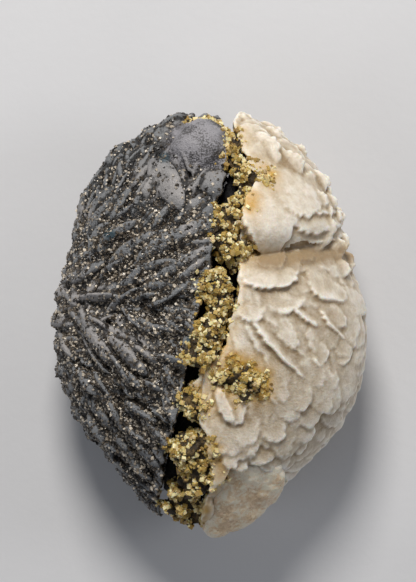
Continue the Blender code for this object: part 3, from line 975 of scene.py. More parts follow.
def dome(rosette: Rosette, inset: float, dip: tuple = ()) -> Object:
    """The core that the blades grow from, sunk further inside flat outlines on its front."""
    bm = bmesh.new()
    bmesh.ops.create_icosphere(bm, subdivisions=6, radius=1.0)
    for vertex in bm.verts:
        direction = vertex.co.normalized()
        theta = math.atan2(direction.y, direction.x)
        phi = math.asin(max(-1.0, min(1.0, direction.z)))
        vertex.co = rosette.skin(theta, phi, inset)
        if phi > 0 and any(inside(outline, vertex.co.x, vertex.co.y) for outline in dip):
            vertex.co = rosette.skin(theta, phi, rosette.blade_stand + 1.0 * MM)
    return show(mesh_object("core", bm))


def place_piece(piece: Object, slot: str, *nodes: str) -> Object:
    """Makes a piece part of the object: it rides with it and may stand for CAD nodes."""
    set_points(piece.data, kept_in_box(points_of(piece.data)))
    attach(piece, "root")
    if nodes:
        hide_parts(*nodes)
    piece.data.calc_loop_triangles()
    LOG.info("%s: %d triangles", piece.name, len(piece.data.loop_triangles))
    return piece


def merged_copy(node: str) -> Object:
    """A copy of a CAD node's mesh with its loose triangles merged."""
    bm = bmesh.new()
    bm.from_mesh(frame["nodes"][node].data)
    bmesh.ops.remove_doubles(bm, verts=bm.verts, dist=0.001 * MM)
    return show(mesh_object(node + "_copy", bm))


def node_points(*nodes: str) -> np.ndarray:
    """Points over the surfaces of some of the solids."""
    rows = []
    for node in nodes:
        solid = frame["nodes"][node].data
        rows.append(points_of(solid))
        for face in solid.polygons:
            corners = [np.array(solid.vertices[number].co) for number in face.vertices]
            longest = max(np.linalg.norm(corner - corners[0]) for corner in corners)
            steps = max(2, int(longest / (1.2 * MM)))
            for i in range(steps + 1):
                for j in range(steps + 1 - i):
                    k = steps - i - j
                    rows.append((corners[0] * i + corners[1] * j + corners[2] * k)[None] / steps)
    return np.vstack(rows)


def nearness(points: np.ndarray, targets: np.ndarray, reach_mm: float) -> np.ndarray:
    """How near each point is to a set of targets, from 1 at one of them to 0 at a distance."""
    tree = kdtree.KDTree(len(targets))
    for number, target in enumerate(targets):
        tree.insert(target, number)
    tree.balance()
    distances = np.array([tree.find(point)[2] for point in points])
    return np.clip(1.0 - distances / (reach_mm * MM), 0.0, 1.0)


def spot_mask(points: np.ndarray, spots: Iterable[tuple[float, float, float]]) -> np.ndarray:
    """1 at some spots of the showing side and 0 away from them; each is x, y and radius in mm."""
    mask = np.zeros(len(points))
    for x, y, radius in spots:
        away = np.hypot(points[:, 0] - x * MM, points[:, 1] - y * MM) / (radius * MM)
        mask = np.maximum(mask, np.clip(1.5 - away, 0.0, 1.0) * (points[:, 2] > 13 * MM))
    return mask


@dataclass(frozen=True)
class Sheet:
    """One thin sheet that lies on the front: it rises along its heading to a scalloped free edge; in mm."""

    x: float
    y: float
    heading: float
    half_length: float
    half_width: float
    low: float
    high: float
    phase: float = 0.0
    tooth_mm: float = 2.2
    squareness: float = 2.4
    rim_mm: float = 0.35

    def height(self, x: np.ndarray, y: np.ndarray) -> np.ndarray:
        """How high the sheet stands at each place in mm, and 0 outside it."""
        angle = math.radians(self.heading)
        along = (x - self.x) * math.cos(angle) + (y - self.y) * math.sin(angle)
        across = (y - self.y) * math.cos(angle) - (x - self.x) * math.sin(angle)
        forward, aside = along / self.half_length, across / self.half_width
        far = (np.abs(forward) ** self.squareness + np.abs(aside) ** self.squareness) ** (1 / self.squareness)
        turn = np.arctan2(aside, forward)
        slimmest = min(self.half_length, self.half_width)
        teeth = max(5.0, math.pi * (self.half_length + self.half_width) / 2 / self.tooth_mm)
        warped = turn + 0.25 * np.sin(2 * turn + self.phase) + 0.12 * np.sin(5 * turn + 2 * self.phase)
        notch = 1.0 - np.abs(np.sin(teeth * warped + self.phase))
        rim = 1.0 - (self.rim_mm / slimmest) * notch + 0.05 * np.sin(3 * turn + self.phase)
        inner = (rim - far) * slimmest
        bevel = np.clip(inner / self.rim_mm, 0.0, 1.0) ** 0.6
        rise = np.clip((forward + 1.0) / 2.0, 0.0, 1.0) ** 1.3
        return np.where(inner > 0, bevel * (self.low + (self.high - self.low) * rise), 0.0)


@dataclass(frozen=True)
class SheetField:
    """A shell on the dome whose face is a field of overlapping sheets.

    Attributes:
        rosette: the dome.
        first: the angle round the showing side where the shell starts, in degrees.
        last: the angle where it ends.
        lowest: its lowest angle over where the dome is widest, in degrees.
        highest: its highest one.
        depth_mm: how far its inner face is below the outer one.
        step_mm: how far apart its points are.
        usual_reach_mm: the dome's usual radius, for the spacing round it.
        usual_rise_mm: the same up the dome.
    """

    rosette: Rosette
    first: float
    last: float
    lowest: float = -62.0
    highest: float = 88.0
    depth_mm: float = 3.0
    step_mm: float = 0.3
    usual_reach_mm: float = 34.0
    usual_rise_mm: float = 27.0

    def grid(self) -> tuple[np.ndarray, np.ndarray, np.ndarray]:
        """The shell's base points, their normals and their places on an unrolled map in mm."""
        dome, stand = self.rosette, self.rosette.blade_stand
        around, up = (math.degrees(self.step_mm / size) for size in (self.usual_reach_mm, self.usual_rise_mm))
        thetas = np.radians(np.arange(self.first, self.last, around))
        phis = np.radians(np.arange(self.lowest, self.highest, up))[:, None]
        reach = np.array([dome.reach(theta) for theta in thetas])
        radius = (reach - stand) * np.cos(phis)
        x, y = radius * np.cos(thetas), radius * np.sin(thetas)
        front = (phis > 0) * np.sin(phis)
        z = dome.widest_z + (np.where(phis > 0, dome.front_rise, dome.back_drop) - stand) * np.sin(phis)
        off = (y - dome.fold_y - dome.fold_slope * x) / dome.fold_width
        share = np.clip((x - dome.fold_starts_x) / (5 * MM), 0.0, 1.0)
        z = z - dome.fold_depth * np.exp(-off * off) * share * share * (3 - 2 * share) * front
        points = np.stack((x, y, z), axis=2)
        out = np.cross(np.gradient(points, axis=1), np.gradient(points, axis=0))
        out /= np.linalg.norm(out, axis=2, keepdims=True)
        unrolled = reach / MM * (math.pi / 2 - phis)
        return points, out, np.stack((unrolled * np.cos(thetas), unrolled * np.sin(thetas)), axis=2)

    def build(self, by_hand: Iterable[Sheet], strewn: Iterable[Sheet]) -> Object:
        """Makes the shell.

        Args:
            by_hand: sheets placed by x and y as seen from the front.
            strewn: sheets placed on the unrolled map, which goes on over the sides.

        Returns:
            The shell as a closed mesh object.
        """
        points, out, unrolled = self.grid()
        height = np.zeros(points.shape[:2])
        seen = np.where(points[:, :, 2:] > self.rosette.widest_z, points[:, :, :2] / MM, 1e6)
        for places, sheets in ((seen, by_hand), (unrolled, strewn)):
            x, y = places[:, :, 0], places[:, :, 1]
            for sheet in sheets:
                reach = max(sheet.half_length, sheet.half_width) * 1.2
                near = (np.abs(x - sheet.x) < reach) & (np.abs(y - sheet.y) < reach)
                height[near] = np.maximum(height[near], sheet.height(x[near], y[near]))
        face = points + out * (height * MM)[:, :, None]
        inner = points - out * (self.depth_mm * MM)
        rows, columns = height.shape
        bm = bmesh.new()
        layers = [[bm.verts.new(point) for point in layer.reshape(-1, 3)] for layer in (face, inner)]
        for j in range(rows - 1):
            for i in range(columns - 1):
                a = j * columns + i
                corners = (a, a + 1, a + columns + 1, a + columns)
                for layer in layers:
                    bm.faces.new([layer[corner] for corner in corners])
        border = [
            *range(columns), *((j + 1) * columns - 1 for j in range(1, rows)),
            *(rows * columns - 1 - i for i in range(1, columns)),
            *(j * columns for j in range(rows - 2, 0, -1)),
        ]
        for a, b in zip(border, (*border[1:], border[0])):
            bm.faces.new((layers[0][a], layers[0][b], layers[1][b], layers[1][a]))
        bmesh.ops.recalc_face_normals(bm, faces=bm.faces)
        return show(mesh_object("sheets", bm))


@dataclass
class Half:
    """What the bodies of calcite share: plates fused into one skin, cut, roughened and painted."""

    shop: Workshop
    rosette: Rosette
    material: Material
    name: str = ""
    node: str = ""
    side: Side = Side.PALE
    edge: tuple = PALE_EDGE
    seed: int = 1
    relief: tuple[float, float, float, float] = (4.0, 0.16, 1.2, 0.06)
    voxel_mm: float = 0.25
    core_inset_mm: float = 1.2
    most_triangles: int = 186_000
    clear_of: tuple = ()
    flat_back: bool = True
    crest_mm: float = 0.09
    hollow_mm: float = 0.8
    stain_reach_mm: float = 4.0
    soot_reach_mm: float = 2.2
    kit: PlateKit = PlateKit("plate", 0.11, 2.3, 90)

    def plan(self) -> BladePlan:
        """Where the blades of this half grow."""
        raise NotImplementedError

    def extras(self) -> list[Object]:
        """Shapes that are fused with the blades, such as the core that they grow from."""
        return [dome(self.rosette, self.core_inset_mm * MM, self.clear_of)]

    def side_rows(
        self, plan: BladePlan, first: float, last: float, heights: Iterable[float], lean: float
    ) -> None:
        """Small plates in rows round the side, standing out like pages.

        Args:
            plan: where they are added.
            first: the angle round the showing side where a row starts, in degrees.
            last: the angle where it ends.
            heights: each row's angle over where the dome is widest, in radians.
            lean: how far the plates tip over, in degrees.
        """
        chance = random.Random(self.seed + 100)
        spacing_mm, usual_reach_mm = 2.7, 36
        for number, height in enumerate(heights):
            count = int(math.radians(last - first) * usual_reach_mm * math.cos(height) / spacing_mm)
            for k in range(count):
                share = (k + 0.5 * (number % 2) + chance.uniform(-0.25, 0.25)) / count
                theta = math.radians(first + (last - first) * share)
                plan.grow(
                    theta, height + chance.uniform(-0.06, 0.06), theta,
                    math.radians(lean + chance.uniform(-16, 16)),
                    chance.uniform(2.8, 4.2) * MM, chance.uniform(2.2, 3.0) * MM,
                    chance.uniform(1.2, 2.0) * MM,
                    self.rosette.blade_stand * chance.uniform(0.72, 1.0), chance,
                )

    def skin(self) -> Object:
        """The fused and roughened skin of this half."""
        kit = self.kit.build()
        blades = self.shop.assemble(self.name, self.plan().blades, kit, self.material)
        discard_kit(kit)
        solid = self.shop.fuse([blades, *self.extras()], self.name, self.voxel_mm)
        blocks = [("INTERSECT", half_block(self.edge, self.side, self.seed))]
        if self.flat_back:
            blocks.append(("DIFFERENCE", rock_block()))
        skin = self.shop.fuse([self.shop.cut(solid, blocks)], self.name, self.voxel_mm)
        return self.shop.roughen(self.shop.lighten(skin, self.most_triangles), self.material, *self.relief)

    def coloured(self, skin: Object) -> None:
        """Stores what the material reads: ridges for painted highlight, hollows for painted shade, and the
        stain beside the siderite.
        """
        mesh = skin.data
        points = points_of(mesh)
        # rim sets where painted highlight goes, hollow where painted shade goes
        paint(mesh, "rim", standing(mesh, CREST_ROUNDS, self.crest_mm * MM))
        paint(mesh, "hollow", 1.0 - standing(mesh, HOLLOW_ROUNDS, self.hollow_mm * MM))
        paint(mesh, "stain", nearness(points, node_points(*CRUST_NODES), self.stain_reach_mm) ** 2)
        paint(mesh, "soot", nearness(points, node_points(SEAM_NODE), self.soot_reach_mm) * 1.6 - 0.3)

    def build(self) -> Object:
        """Makes this half in place of its solid."""
        skin = self.skin()
        set_points(skin.data, kept_in_box(points_of(skin.data)))
        self.coloured(skin)
        return place_piece(skin, self.node, self.node)


@dataclass
class PaleHalf(Half):
    """The pale half: plates that fan out from one centre, with stacked ledges above a fold."""

    name: str = "pale_blades"
    node: str = PALE_NODE
    seed: int = 11
    clear_of: tuple = (
        (
            (-4.0, -46.0), (-2.0, -27.5), (4.0, -25.6), (13.2, -24.8), (15.2, -30.0), (12.6, -36.0),
            (5.0, -43.0),
        ),
        ((0.2, -8.0), (4.8, -6.6), (9.4, -8.2), (12.2, -12.2), (9.4, -16.2), (4.4, -15.2), (0.4, -12.8)),
    )
    core_inset_mm: float = 2.3
    fan_centre_mm: tuple[float, float] = (3.6, 12.6)
    fan_half_angle: float = 98.0
    ring_step_mm: float = 2.3
    sheet_step_mm: float = 3.3
    side_starts_mm: float = 22.0
    side_fades_mm: float = 14.0
    # Where the painted shadow of the fold lies, in mm
    shade_y_mm: float = 11.0
    shade_width_mm: float = 2.5
    top_layers: tuple = (
        (34, 83, 6, 17.0, 33, 6.5, 3.8, 3.0),
        (30, 74, 5, 25.0, 34, 7.5, 4.4, 2.2),
        (46, 82, 5, 21.0, 35, 5.5, 3.0, 2.0),
        (24, 50, 4, 20.0, 36, 5.5, 2.6, 1.8),
        (22, 46, 4, 24.0, 37, 5.0, 2.4, 1.8),
    )
    # Sheets that are seen one by one: the broad plate, the stacked ledges under it, and crests on the dome
    sheets: tuple = (
        Sheet(11.6, 25.6, -112, 10.2, 6.9, 1.0, 3.7, 0.4, 2.0),
        Sheet(10.4, 34.4, 78, 7.4, 6.2, 1.2, 2.8, 1.0, 2.6),
        Sheet(14.4, 33.0, 52, 6.0, 4.0, 1.2, 2.6, 2.0, 2.4),
        Sheet(15.8, 28.2, -84, 8.6, 5.4, 0.8, 3.1, 0.7, 2.4),
        Sheet(20.6, 27.4, -62, 5.6, 4.6, 1.2, 2.8, 1.7, 2.4),
        Sheet(20.2, 23.8, -80, 3.6, 7.4, 1.2, 3.0, 0.2, 2.4),
        Sheet(20.4, 20.8, -84, 3.0, 7.4, 1.4, 3.3, 1.4, 2.4),
        Sheet(18.6, 17.8, -80, 3.4, 7.8, 1.9, 3.3, 2.1, 2.2),
        Sheet(11.4, 9.4, -84, 3.2, 6.4, 0.4, 2.4, 0.9, 2.2),
        Sheet(14.6, 5.2, -70, 3.4, 4.2, 0.4, 1.7, 2.9, 2.2),
        Sheet(23.6, 8.2, -100, 4.6, 6.0, 0.6, 2.1, 1.9, 2.2),
        Sheet(7.6, 4.0, -96, 4.0, 3.6, 0.6, 1.9, 0.6, 2.4),
        Sheet(12.4, -3.4, -138, 1.9, 7.8, 0.5, 2.5, 1.2, 3.4),
        Sheet(16.2, -7.4, -134, 1.7, 6.4, 0.5, 2.3, 2.2, 3.4),
        Sheet(18.4, 1.6, -124, 1.6, 3.8, 0.5, 2.2, 0.2, 3.0),
        Sheet(24.2, -0.4, -136, 1.9, 5.6, 0.5, 2.3, 1.6, 3.0),
        Sheet(21.4, -7.2, -132, 1.6, 3.6, 0.5, 2.2, 2.6, 3.0),
        Sheet(23.4, -12.6, -140, 1.6, 4.0, 0.6, 2.5, 0.8, 3.0),
        Sheet(13.4, -14.4, -142, 1.7, 5.0, 0.4, 2.1, 1.8, 3.0),
        Sheet(17.6, -16.2, -146, 1.5, 3.6, 0.5, 2.1, 2.4, 3.0),
        Sheet(2.6, -15.4, -70, 4.0, 1.5, 1.4, 2.9, 0.3, 1.6),
        Sheet(5.8, -22.0, -62, 4.2, 1.7, 1.4, 3.0, 1.3, 1.6),
        Sheet(3.4, -20.0, -80, 6.0, 3.4, 0.6, 2.2, 2.3, 2.2),
    )

    def top_layer(
        self, plan: BladePlan, first: float, last: float, count: int, level: float, seed: int,
        half_length: float, half_width: float, thickness: float,
    ) -> None:
        """Plates that face the front with their ends pointing out, in one layer.

        Args:
            plan: where they are added.
            first: the angle round the showing side of the first one, in degrees.
            last: the angle of the last one.
            count: how many there are.
            level: the layer's height over the flat back, in mm.
            seed: where their unevenness comes from.
            half_length: half their length, in mm.
            half_width: half their width, in mm.
            thickness: their thickness, in mm.
        """
        chance = random.Random(seed)
        for k in range(count):
            theta = math.radians(first + (last - first) * (k + chance.uniform(-0.15, 0.15)) / (count - 1))
            phi = math.asin((level * MM - self.rosette.widest_z) / self.rosette.front_rise)
            tip = self.rosette.skin(theta, phi, -self.rosette.blade_stand * chance.uniform(0.2, 0.65))
            along = Vector((math.cos(theta), math.sin(theta), chance.uniform(-0.35, -0.1))).normalized()
            facing = Vector((chance.uniform(-0.15, 0.15), chance.uniform(-0.15, 0.15), 1.0))
            out = facing.cross(along).normalized()
            width = half_width * MM * chance.uniform(0.85, 1.15)
            size = (half_length * MM, width, thickness * MM / 2)
            plan.add(tip - along * half_length * MM, along, out, size, chance.randrange(3))

    def plan(self) -> BladePlan:
        """The blades that stand out round the outline, with sister plates beside the big ones."""
        plan = BladePlan(self.rosette, self.side, self.edge, self.clear_of)
        for layer in self.top_layers:
            self.top_layer(plan, *layer)
        plan.layered(random.Random(self.seed + 1), 2, 0.22)
        return plan

    def fine_sheets(self) -> list[Sheet]:
        """Small sheets that fan out over the front, broad ones and narrow ones with a long free side."""
        chance = random.Random(self.seed + 6)
        made = []
        for ring, radius in enumerate(np.arange(5.0, 96.0, self.ring_step_mm)):
            count = max(4, int(math.pi * radius / self.sheet_step_mm))
            for k in range(count):
                share = (k + 0.5 * (ring % 2) + chance.uniform(-0.3, 0.3)) / count
                angle = math.radians(self.fan_half_angle * (2 * share - 1))
                x = self.fan_centre_mm[0] + radius * math.cos(angle)
                y = self.fan_centre_mm[1] + radius * math.sin(angle)
                outer = min(1.0, max(0.0, (radius - self.side_starts_mm) / self.side_fades_mm))
                low = chance.uniform(0.6, 1.0) + 0.4 * outer
                phase = chance.uniform(0, 3)
                heading = math.degrees(angle) + chance.uniform(-12, 12)
                long_side = chance.random() > 0.2 + 0.65 * outer
                swell = 1.0 + chance.choice((0.0, 0.0, 0.7)) * outer
                sizes = [swell * chance.uniform(low_size, high_size) for low_size, high_size in (
                    ((1.2, 2.4), (3.8, 7.4)) if long_side else ((3.4, 6.0), (2.2, 3.6))
                )]
                step = chance.uniform(0.15, 0.5) if long_side else chance.uniform(0.3, 0.7) + 1.1 * outer
                if not self.covered(x, y):
                    made.append(Sheet(
                        x, y, heading - (90 if long_side else 0), *sizes, low, low + step, phase,
                        3.4 if long_side else 2.2,
                    ))
        return made

    def coloured(self, skin: Object) -> None:
        """Adds painted shadow along the fold, darkened like a hollow, and dims the painted highlight of the
        rims there.
        """
        super().coloured(skin)
        mesh = skin.data
        x, y, z = points_of(mesh).T / MM
        # Painted shadow: a band along the fold is darkened, and its rims get less painted highlight
        off = (y - self.shade_y_mm - self.rosette.fold_slope * x) / self.shade_width_mm
        fold = np.exp(-off * off) * np.clip((x - 6.0) / 4.0, 0.0, 1.0) * np.clip((z - 14.0) / 6.0, 0.0, 1.0)
        paint(mesh, "hollow", np.maximum(stored(mesh, "hollow"), 0.9 * fold))
        paint(mesh, "rim", stored(mesh, "rim") * (1.0 - 0.5 * fold))

    def covered(self, x: float, y: float) -> bool:
        """Whether a place of the unrolled map, in mm, shows inside an outline that is kept clear."""
        phi, seen = self.rosette.rolled_on(x, y)
        return phi > 0 and any(inside(outline, seen.x, seen.y) for outline in self.clear_of)

    def extras(self) -> list[Object]:
        """The field of sheets over the front and the sides."""
        shell = SheetField(self.rosette, -96.0, 92.0).build(self.sheets, self.fine_sheets())
        return [*super().extras(), shell]


@dataclass
class LowerCrystal(Half):
    """The broad clear crystal at the foot of the pale half, with a scalloped edge of shorter plates."""

    name: str = "clear_crystal"
    node: str = PALE_NODE
    seed: int = 19
    relief: tuple[float, float, float, float] = (4.0, 0.6, 1.1, 0.18)
    flat_back: bool = False
    kit: PlateKit = PlateKit(
        "clear_plate", 0.05, 2.2, 93, rings=((0.5, 0.98), (0.78, 0.9), (0.92, 0.7), (1.0, 0.3))
    )
    facing: tuple[float, float, float] = (0.22, -0.56, 0.80)
    middle_mm: tuple[float, float, float] = (6.0, -33.4, 23.5)
    plates: tuple = (
        ((6.6, -32.4), 0.0, 56, 10.8, 6.4, 8.0),
        ((9.8, -29.4), 0.5, 86, 5.6, 5.0, 7.0),
        ((11.4, -32.6), -0.3, 58, 3.9, 3.0, 5.4),
        ((1.8, -38.0), 0.5, 60, 4.4, 3.6, 6.0),
        ((5.6, -28.0), 0.9, 104, 4.4, 5.4, 6.0),
        ((8.0, -36.6), -0.4, 38, 4.0, 2.6, 5.0),
        ((5.2, -39.2), -0.6, 30, 3.6, 2.2, 4.6),
    )

    def plan(self) -> BladePlan:
        """The crystal's plates, which all lie in one slanting face."""
        facing = Vector(self.facing).normalized()
        middle_x, middle_y, middle_z = self.middle_mm
        plan = BladePlan(self.rosette, self.side, self.edge)
        for number, ((x, y), raised, heading, half_length, half_width, thickness) in enumerate(self.plates):
            angle = math.radians(heading)
            rise = -(facing.x * math.cos(angle) + facing.y * math.sin(angle)) / facing.z
            along = Vector((math.cos(angle), math.sin(angle), rise)).normalized()
            z = middle_z - (facing.x * (x - middle_x) + facing.y * (y - middle_y)) / facing.z
            size = (half_length * MM, half_width * MM, thickness * MM / 2)
            centre = Vector((x, y, z)) * MM + facing * raised * MM
            plan.add(centre, along, facing.cross(along).normalized(), size, number)
        return plan

    def extras(self) -> list[Object]:
        """Nothing is fused with the plates, which have no core."""
        return []


@dataclass
class GreyHalf(Half):
    """The grey half: finger-like blades that turn with the height, a smooth round crystal, and a dusting."""

    name: str = "grey_blades"
    node: str = GREY_NODE
    side: Side = Side.GREY
    edge: tuple = GREY_EDGE
    seed: int = 23
    relief: tuple[float, float, float, float] = (3.0, 0.2, 0.9, 0.14)
    core_inset_mm: float = 3.1
    kit: PlateKit = PlateKit(
        "grey_plate", 0.07, 2.0, 95,
        rings=((0.34, 0.97), (0.60, 0.84), (0.78, 0.62), (0.91, 0.38), (1.0, 0.10)),
    )
    headings: tuple = (
        (44, 98), (30, 80), (20, 40), (12, 24), (4, 2), (-2, -40), (-16, -50), (-32, -60), (-46, -72),
    )
    rim_rows: tuple = (
        (98, 254, 18, 0.10, 41, 7.5, 5.0, 5.4, -24),
        (106, 248, 7, -0.62, 42, 8.0, 5.0, 6.5, -20),
    )
    ledges: tuple = (
        (-20.6, -1.8, -46, 20, 7.4, 3.4, 4.0, 3.4),
        (-14.2, -4.6, -40, 40, 5.8, 3.0, 2.4, 3.4),
        (-26.0, 5.4, -22, 30, 5.8, 3.4, 3.2, 2.4),
        (-5.2, 27.0, -66, 60, 6.4, 3.0, 2.8, 3.4),
        (-11.8, 26.4, 62, 30, 6.0, 3.4, 3.2, 2.6),
        (-7.4, 17.0, 26, 40, 9.0, 3.8, 3.0, 2.8),
        (-5.6, 12.0, 30, 34, 8.6, 3.6, 3.0, 2.6),
        (-14.0, 15.4, 22, 36, 8.4, 3.8, 3.2, 2.6),
        (-20.0, 21.6, 24, 36, 6.4, 3.6, 3.4, 2.6),
        (-7.2, -9.6, -76, 24, 9.0, 3.6, 3.2, 2.2),
        (-12.6, -22.0, -58, 34, 9.0, 3.8, 3.6, 2.4),
        (-19.4, -17.0, -48, 34, 8.0, 3.8, 3.6, 2.2),
        (-12.0, -31.0, -64, 40, 7.6, 3.8, 3.6, 2.2),
    )
    lumps: tuple = (((-1.4, 33.8, 27.5), (6.6, 6.4, 6.4)), ((1.2, 26.4, 33.6), (3.4, 3.4, 3.4)))
    slimmer: float = 0.78
    ridge_row_mm: float = 3.1
    ridge_column_mm: float = 4.6
    # Spots, x, y and radius in mm, where crests get painted highlight; the last four are painted glints along
    # the left edge
    highlight_spots: tuple = (
        (-20.4, -1.6, 4.4), (-14.2, -4.8, 3.4), (-6.0, 26.6, 4.0), (-10.8, 28.0, 3.4), (-23.6, 4.8, 4.0),
        (-1.4, 33.8, 6.0), (-4.0, 18.4, 1.3), (-1.8, 14.6, 1.2), (-2.6, 11.8, 1.2), (-24.9, 21.5, 1.8),
        (-29.0, 7.2, 2.0), (-29.0, -0.6, 1.8), (-28.0, -5.0, 1.6),
    )
    teal_spots: tuple = ((-8.7, 32.1, 0.9), (-19.1, 17.1, 1.0), (-3.7, -3.5, 0.9))

    def heading(self, y: float) -> float:
        """Which way the blades run at a height: upright at the top, across in the middle, then down."""
        h = y / MM
        for (high, at_high), (low, at_low) in zip(self.headings, self.headings[1:]):
            if h >= low:
                return math.radians(at_low + (at_high - at_low) * (min(h, high) - low) / (high - low))
        return math.radians(self.headings[-1][1])

    def field_of_blades(
        self, plan: BladePlan, column: float, row: float, seed: int, lean: tuple, sizes: tuple, stand: tuple,
        sway: float, slimmer: float = 1.0,
    ) -> None:
        """Staggered rows of blades over the front.

        Args:
            plan: where they are added.
            column: the spacing across, in mm.
            row: the spacing of the rows, in mm.
            seed: where their unevenness comes from.
            lean: the range of how far they tip over, in degrees.
            sizes: the range of half length, half height and thickness, in mm.
            stand: the range of how far they stand out, as shares of the usual.
            sway: how far they turn from their zone's heading, in degrees.
            slimmer: what their thickness is multiplied by.
        """
        chance = random.Random(seed)
        rows, columns = math.ceil(46 / row), math.ceil(36 / column)
        for j in range(-rows, rows + 1):
            for i in range(-columns, 3 + int(6 / column)):
                x = (i + 0.5 * (j % 2) + chance.uniform(-0.25, 0.25)) * column * MM
                y = (j + chance.uniform(-0.25, 0.25)) * row * MM
                place = self.rosette.front_angles(x, y)
                if place is None or plan.room(x, y) < 1.2 * MM:
                    continue
                plan.grow(
                    *place, self.heading(y) + math.radians(chance.uniform(-sway, sway)),
                    math.radians(chance.choice((1, 1, -1)) * chance.uniform(*lean)),
                    chance.uniform(*sizes[0]) * MM, chance.uniform(*sizes[1]) * MM,
                    chance.uniform(*sizes[2]) * slimmer * MM,
                    self.rosette.blade_stand * chance.uniform(*stand), chance,
                )

    def plan(self) -> BladePlan:
        """The big blades of the solid, sister plates beside them, and fine plates between them."""
        plan = BladePlan(self.rosette, self.side, self.edge, self.clear_of)
        # The solid's own blades, in the same order of draws
        self.field_of_blades(
            plan, 6.5, 7.2, 23, (25, 55), ((4.8, 6.8), (3.6, 4.8), (3.0, 4.2)), (0.6, 1.15), 16, self.slimmer
        )
        plan.by_hand(self.ledges, 7)
        for row in self.rim_rows:
            plan.rim_row(*row)
        plan.layered(random.Random(self.seed + 1), 1, 0.25)
        self.field_of_blades(
            plan, 4.7, 5.3, self.seed + 3, (10, 40), ((3.4, 5.6), (2.0, 3.0), (1.1, 1.9)), (0.9, 1.5), 28
        )
        self.side_rows(plan, 96, 262, (0.42, 0.14, -0.12, -0.38, -0.64, -0.9), -20)
        return plan

    def extras(self) -> list[Object]:
        """The smooth round crystal near the top, with a smaller one under it."""
        lumps = []
        chance = random.Random(self.seed + 5)
        for centre, size in self.lumps:
            facets = [
                (Vector([chance.gauss(0, 1) for _ in range(3)]).normalized(), chance.uniform(0.86, 0.97))
                for _ in range(26)
            ]
            bm = bmesh.new()
            bmesh.ops.create_icosphere(bm, subdivisions=5, radius=1.0)
            for vertex in bm.verts:
                for normal, depth in facets:
                    vertex.co -= normal * max(0.0, vertex.co.dot(normal) - depth)
            place = Matrix.Translation(Vector(centre) * MM)
            bm.transform(place @ Matrix.Diagonal((*(s * MM for s in size), 1.0)))
            lumps.append(show(mesh_object("lump", bm)))
        return [*super().extras(), *lumps, SheetField(self.rosette, 84.0, 270.0).build((), self.ridges())]

    def ridges(self) -> list[Sheet]:
        """Long sheets over the front and the sides that turn with the height, free side down."""
        chance = random.Random(self.seed + 9)
        made = []
        for row in np.arange(-92.0, 92.0, self.ridge_row_mm):
            for column in np.arange(-94.0, 6.0, self.ridge_column_mm):
                x, y = column + chance.uniform(-1.8, 1.8), row + chance.uniform(-1.2, 1.2)
                _, seen = self.rosette.rolled_on(x, y)
                heading = math.degrees(self.heading(seen.y)) + chance.uniform(-24, 24)
                low = chance.uniform(0.1, 0.8)
                made.append(Sheet(
                    x, y, heading + chance.choice((-90, -90, -90, 90)), chance.uniform(1.1, 2.3),
                    chance.uniform(2.4, 6.0), low, low + chance.uniform(0.7, 2.0), chance.uniform(0, 3), 3.0,
                ))
        return made

    def coloured(self, skin: Object) -> None:
        """Adds painted highlight on crests at some spots with painted glints at the left edge, the smooth
        crystal, the teal spots and where the dusting lies.
        """
        super().coloured(skin)
        mesh = skin.data
        points, normals = points_of(mesh), normals_of(mesh)
        centre = np.array(self.lumps[0][0]) * MM
        knob = np.clip(3.4 - np.linalg.norm(points - centre, axis=1) / (2.5 * MM), 0.0, 1.0)
        # light marks the painted highlight and painted glints
        light = spot_mask(points, self.highlight_spots)
        paint(mesh, "knob", knob)
        paint(mesh, "light", light)
        paint(mesh, "teal", spot_mask(points, self.teal_spots))
        facing = np.clip(normals[:, 2] * 0.6 + 0.6, 0.1, 1.0)
        bare = np.clip(1.0 - 0.8 * knob - 0.45 * light, 0, 1)
        upper = np.clip((points[:, 1] / MM - 17) / 8, 0, 1)
        crest = standing(mesh, CREST_ROUNDS, self.crest_mm * MM)
        front = np.clip((points[:, 2] / MM - 4.0) / 12.0, 0.12, 1.0)
        low_parts = np.clip(1.42 - 1.2 * crest, 0, 1)
        paint(mesh, "cover", facing * bare * front * (1.0 - 0.6 * upper) * low_parts)


@dataclass
class Dusting:
    """The fine grains that lie over the grey half."""

    shop: Workshop
    material: Material
    kit: RhombKit = RhombKit("dust", 0.3, 0.22, 51)

    def build(self, grey: Object) -> Object:
        """Strews the grains over the grey half, which keeps its mesh."""
        kit = self.kit.build()
        grains = self.shop.strew(
            grey, "grey_dusting", kit, self.material, stored(grey.data, "cover"), Density=10.5, Apart=0.19,
            Smallest=0.18, Largest=0.48, Sunk=0.1, Seed=4,
        )
        discard_kit(kit)
        return place_piece(grains, GREY_NODE, GREY_NODE)


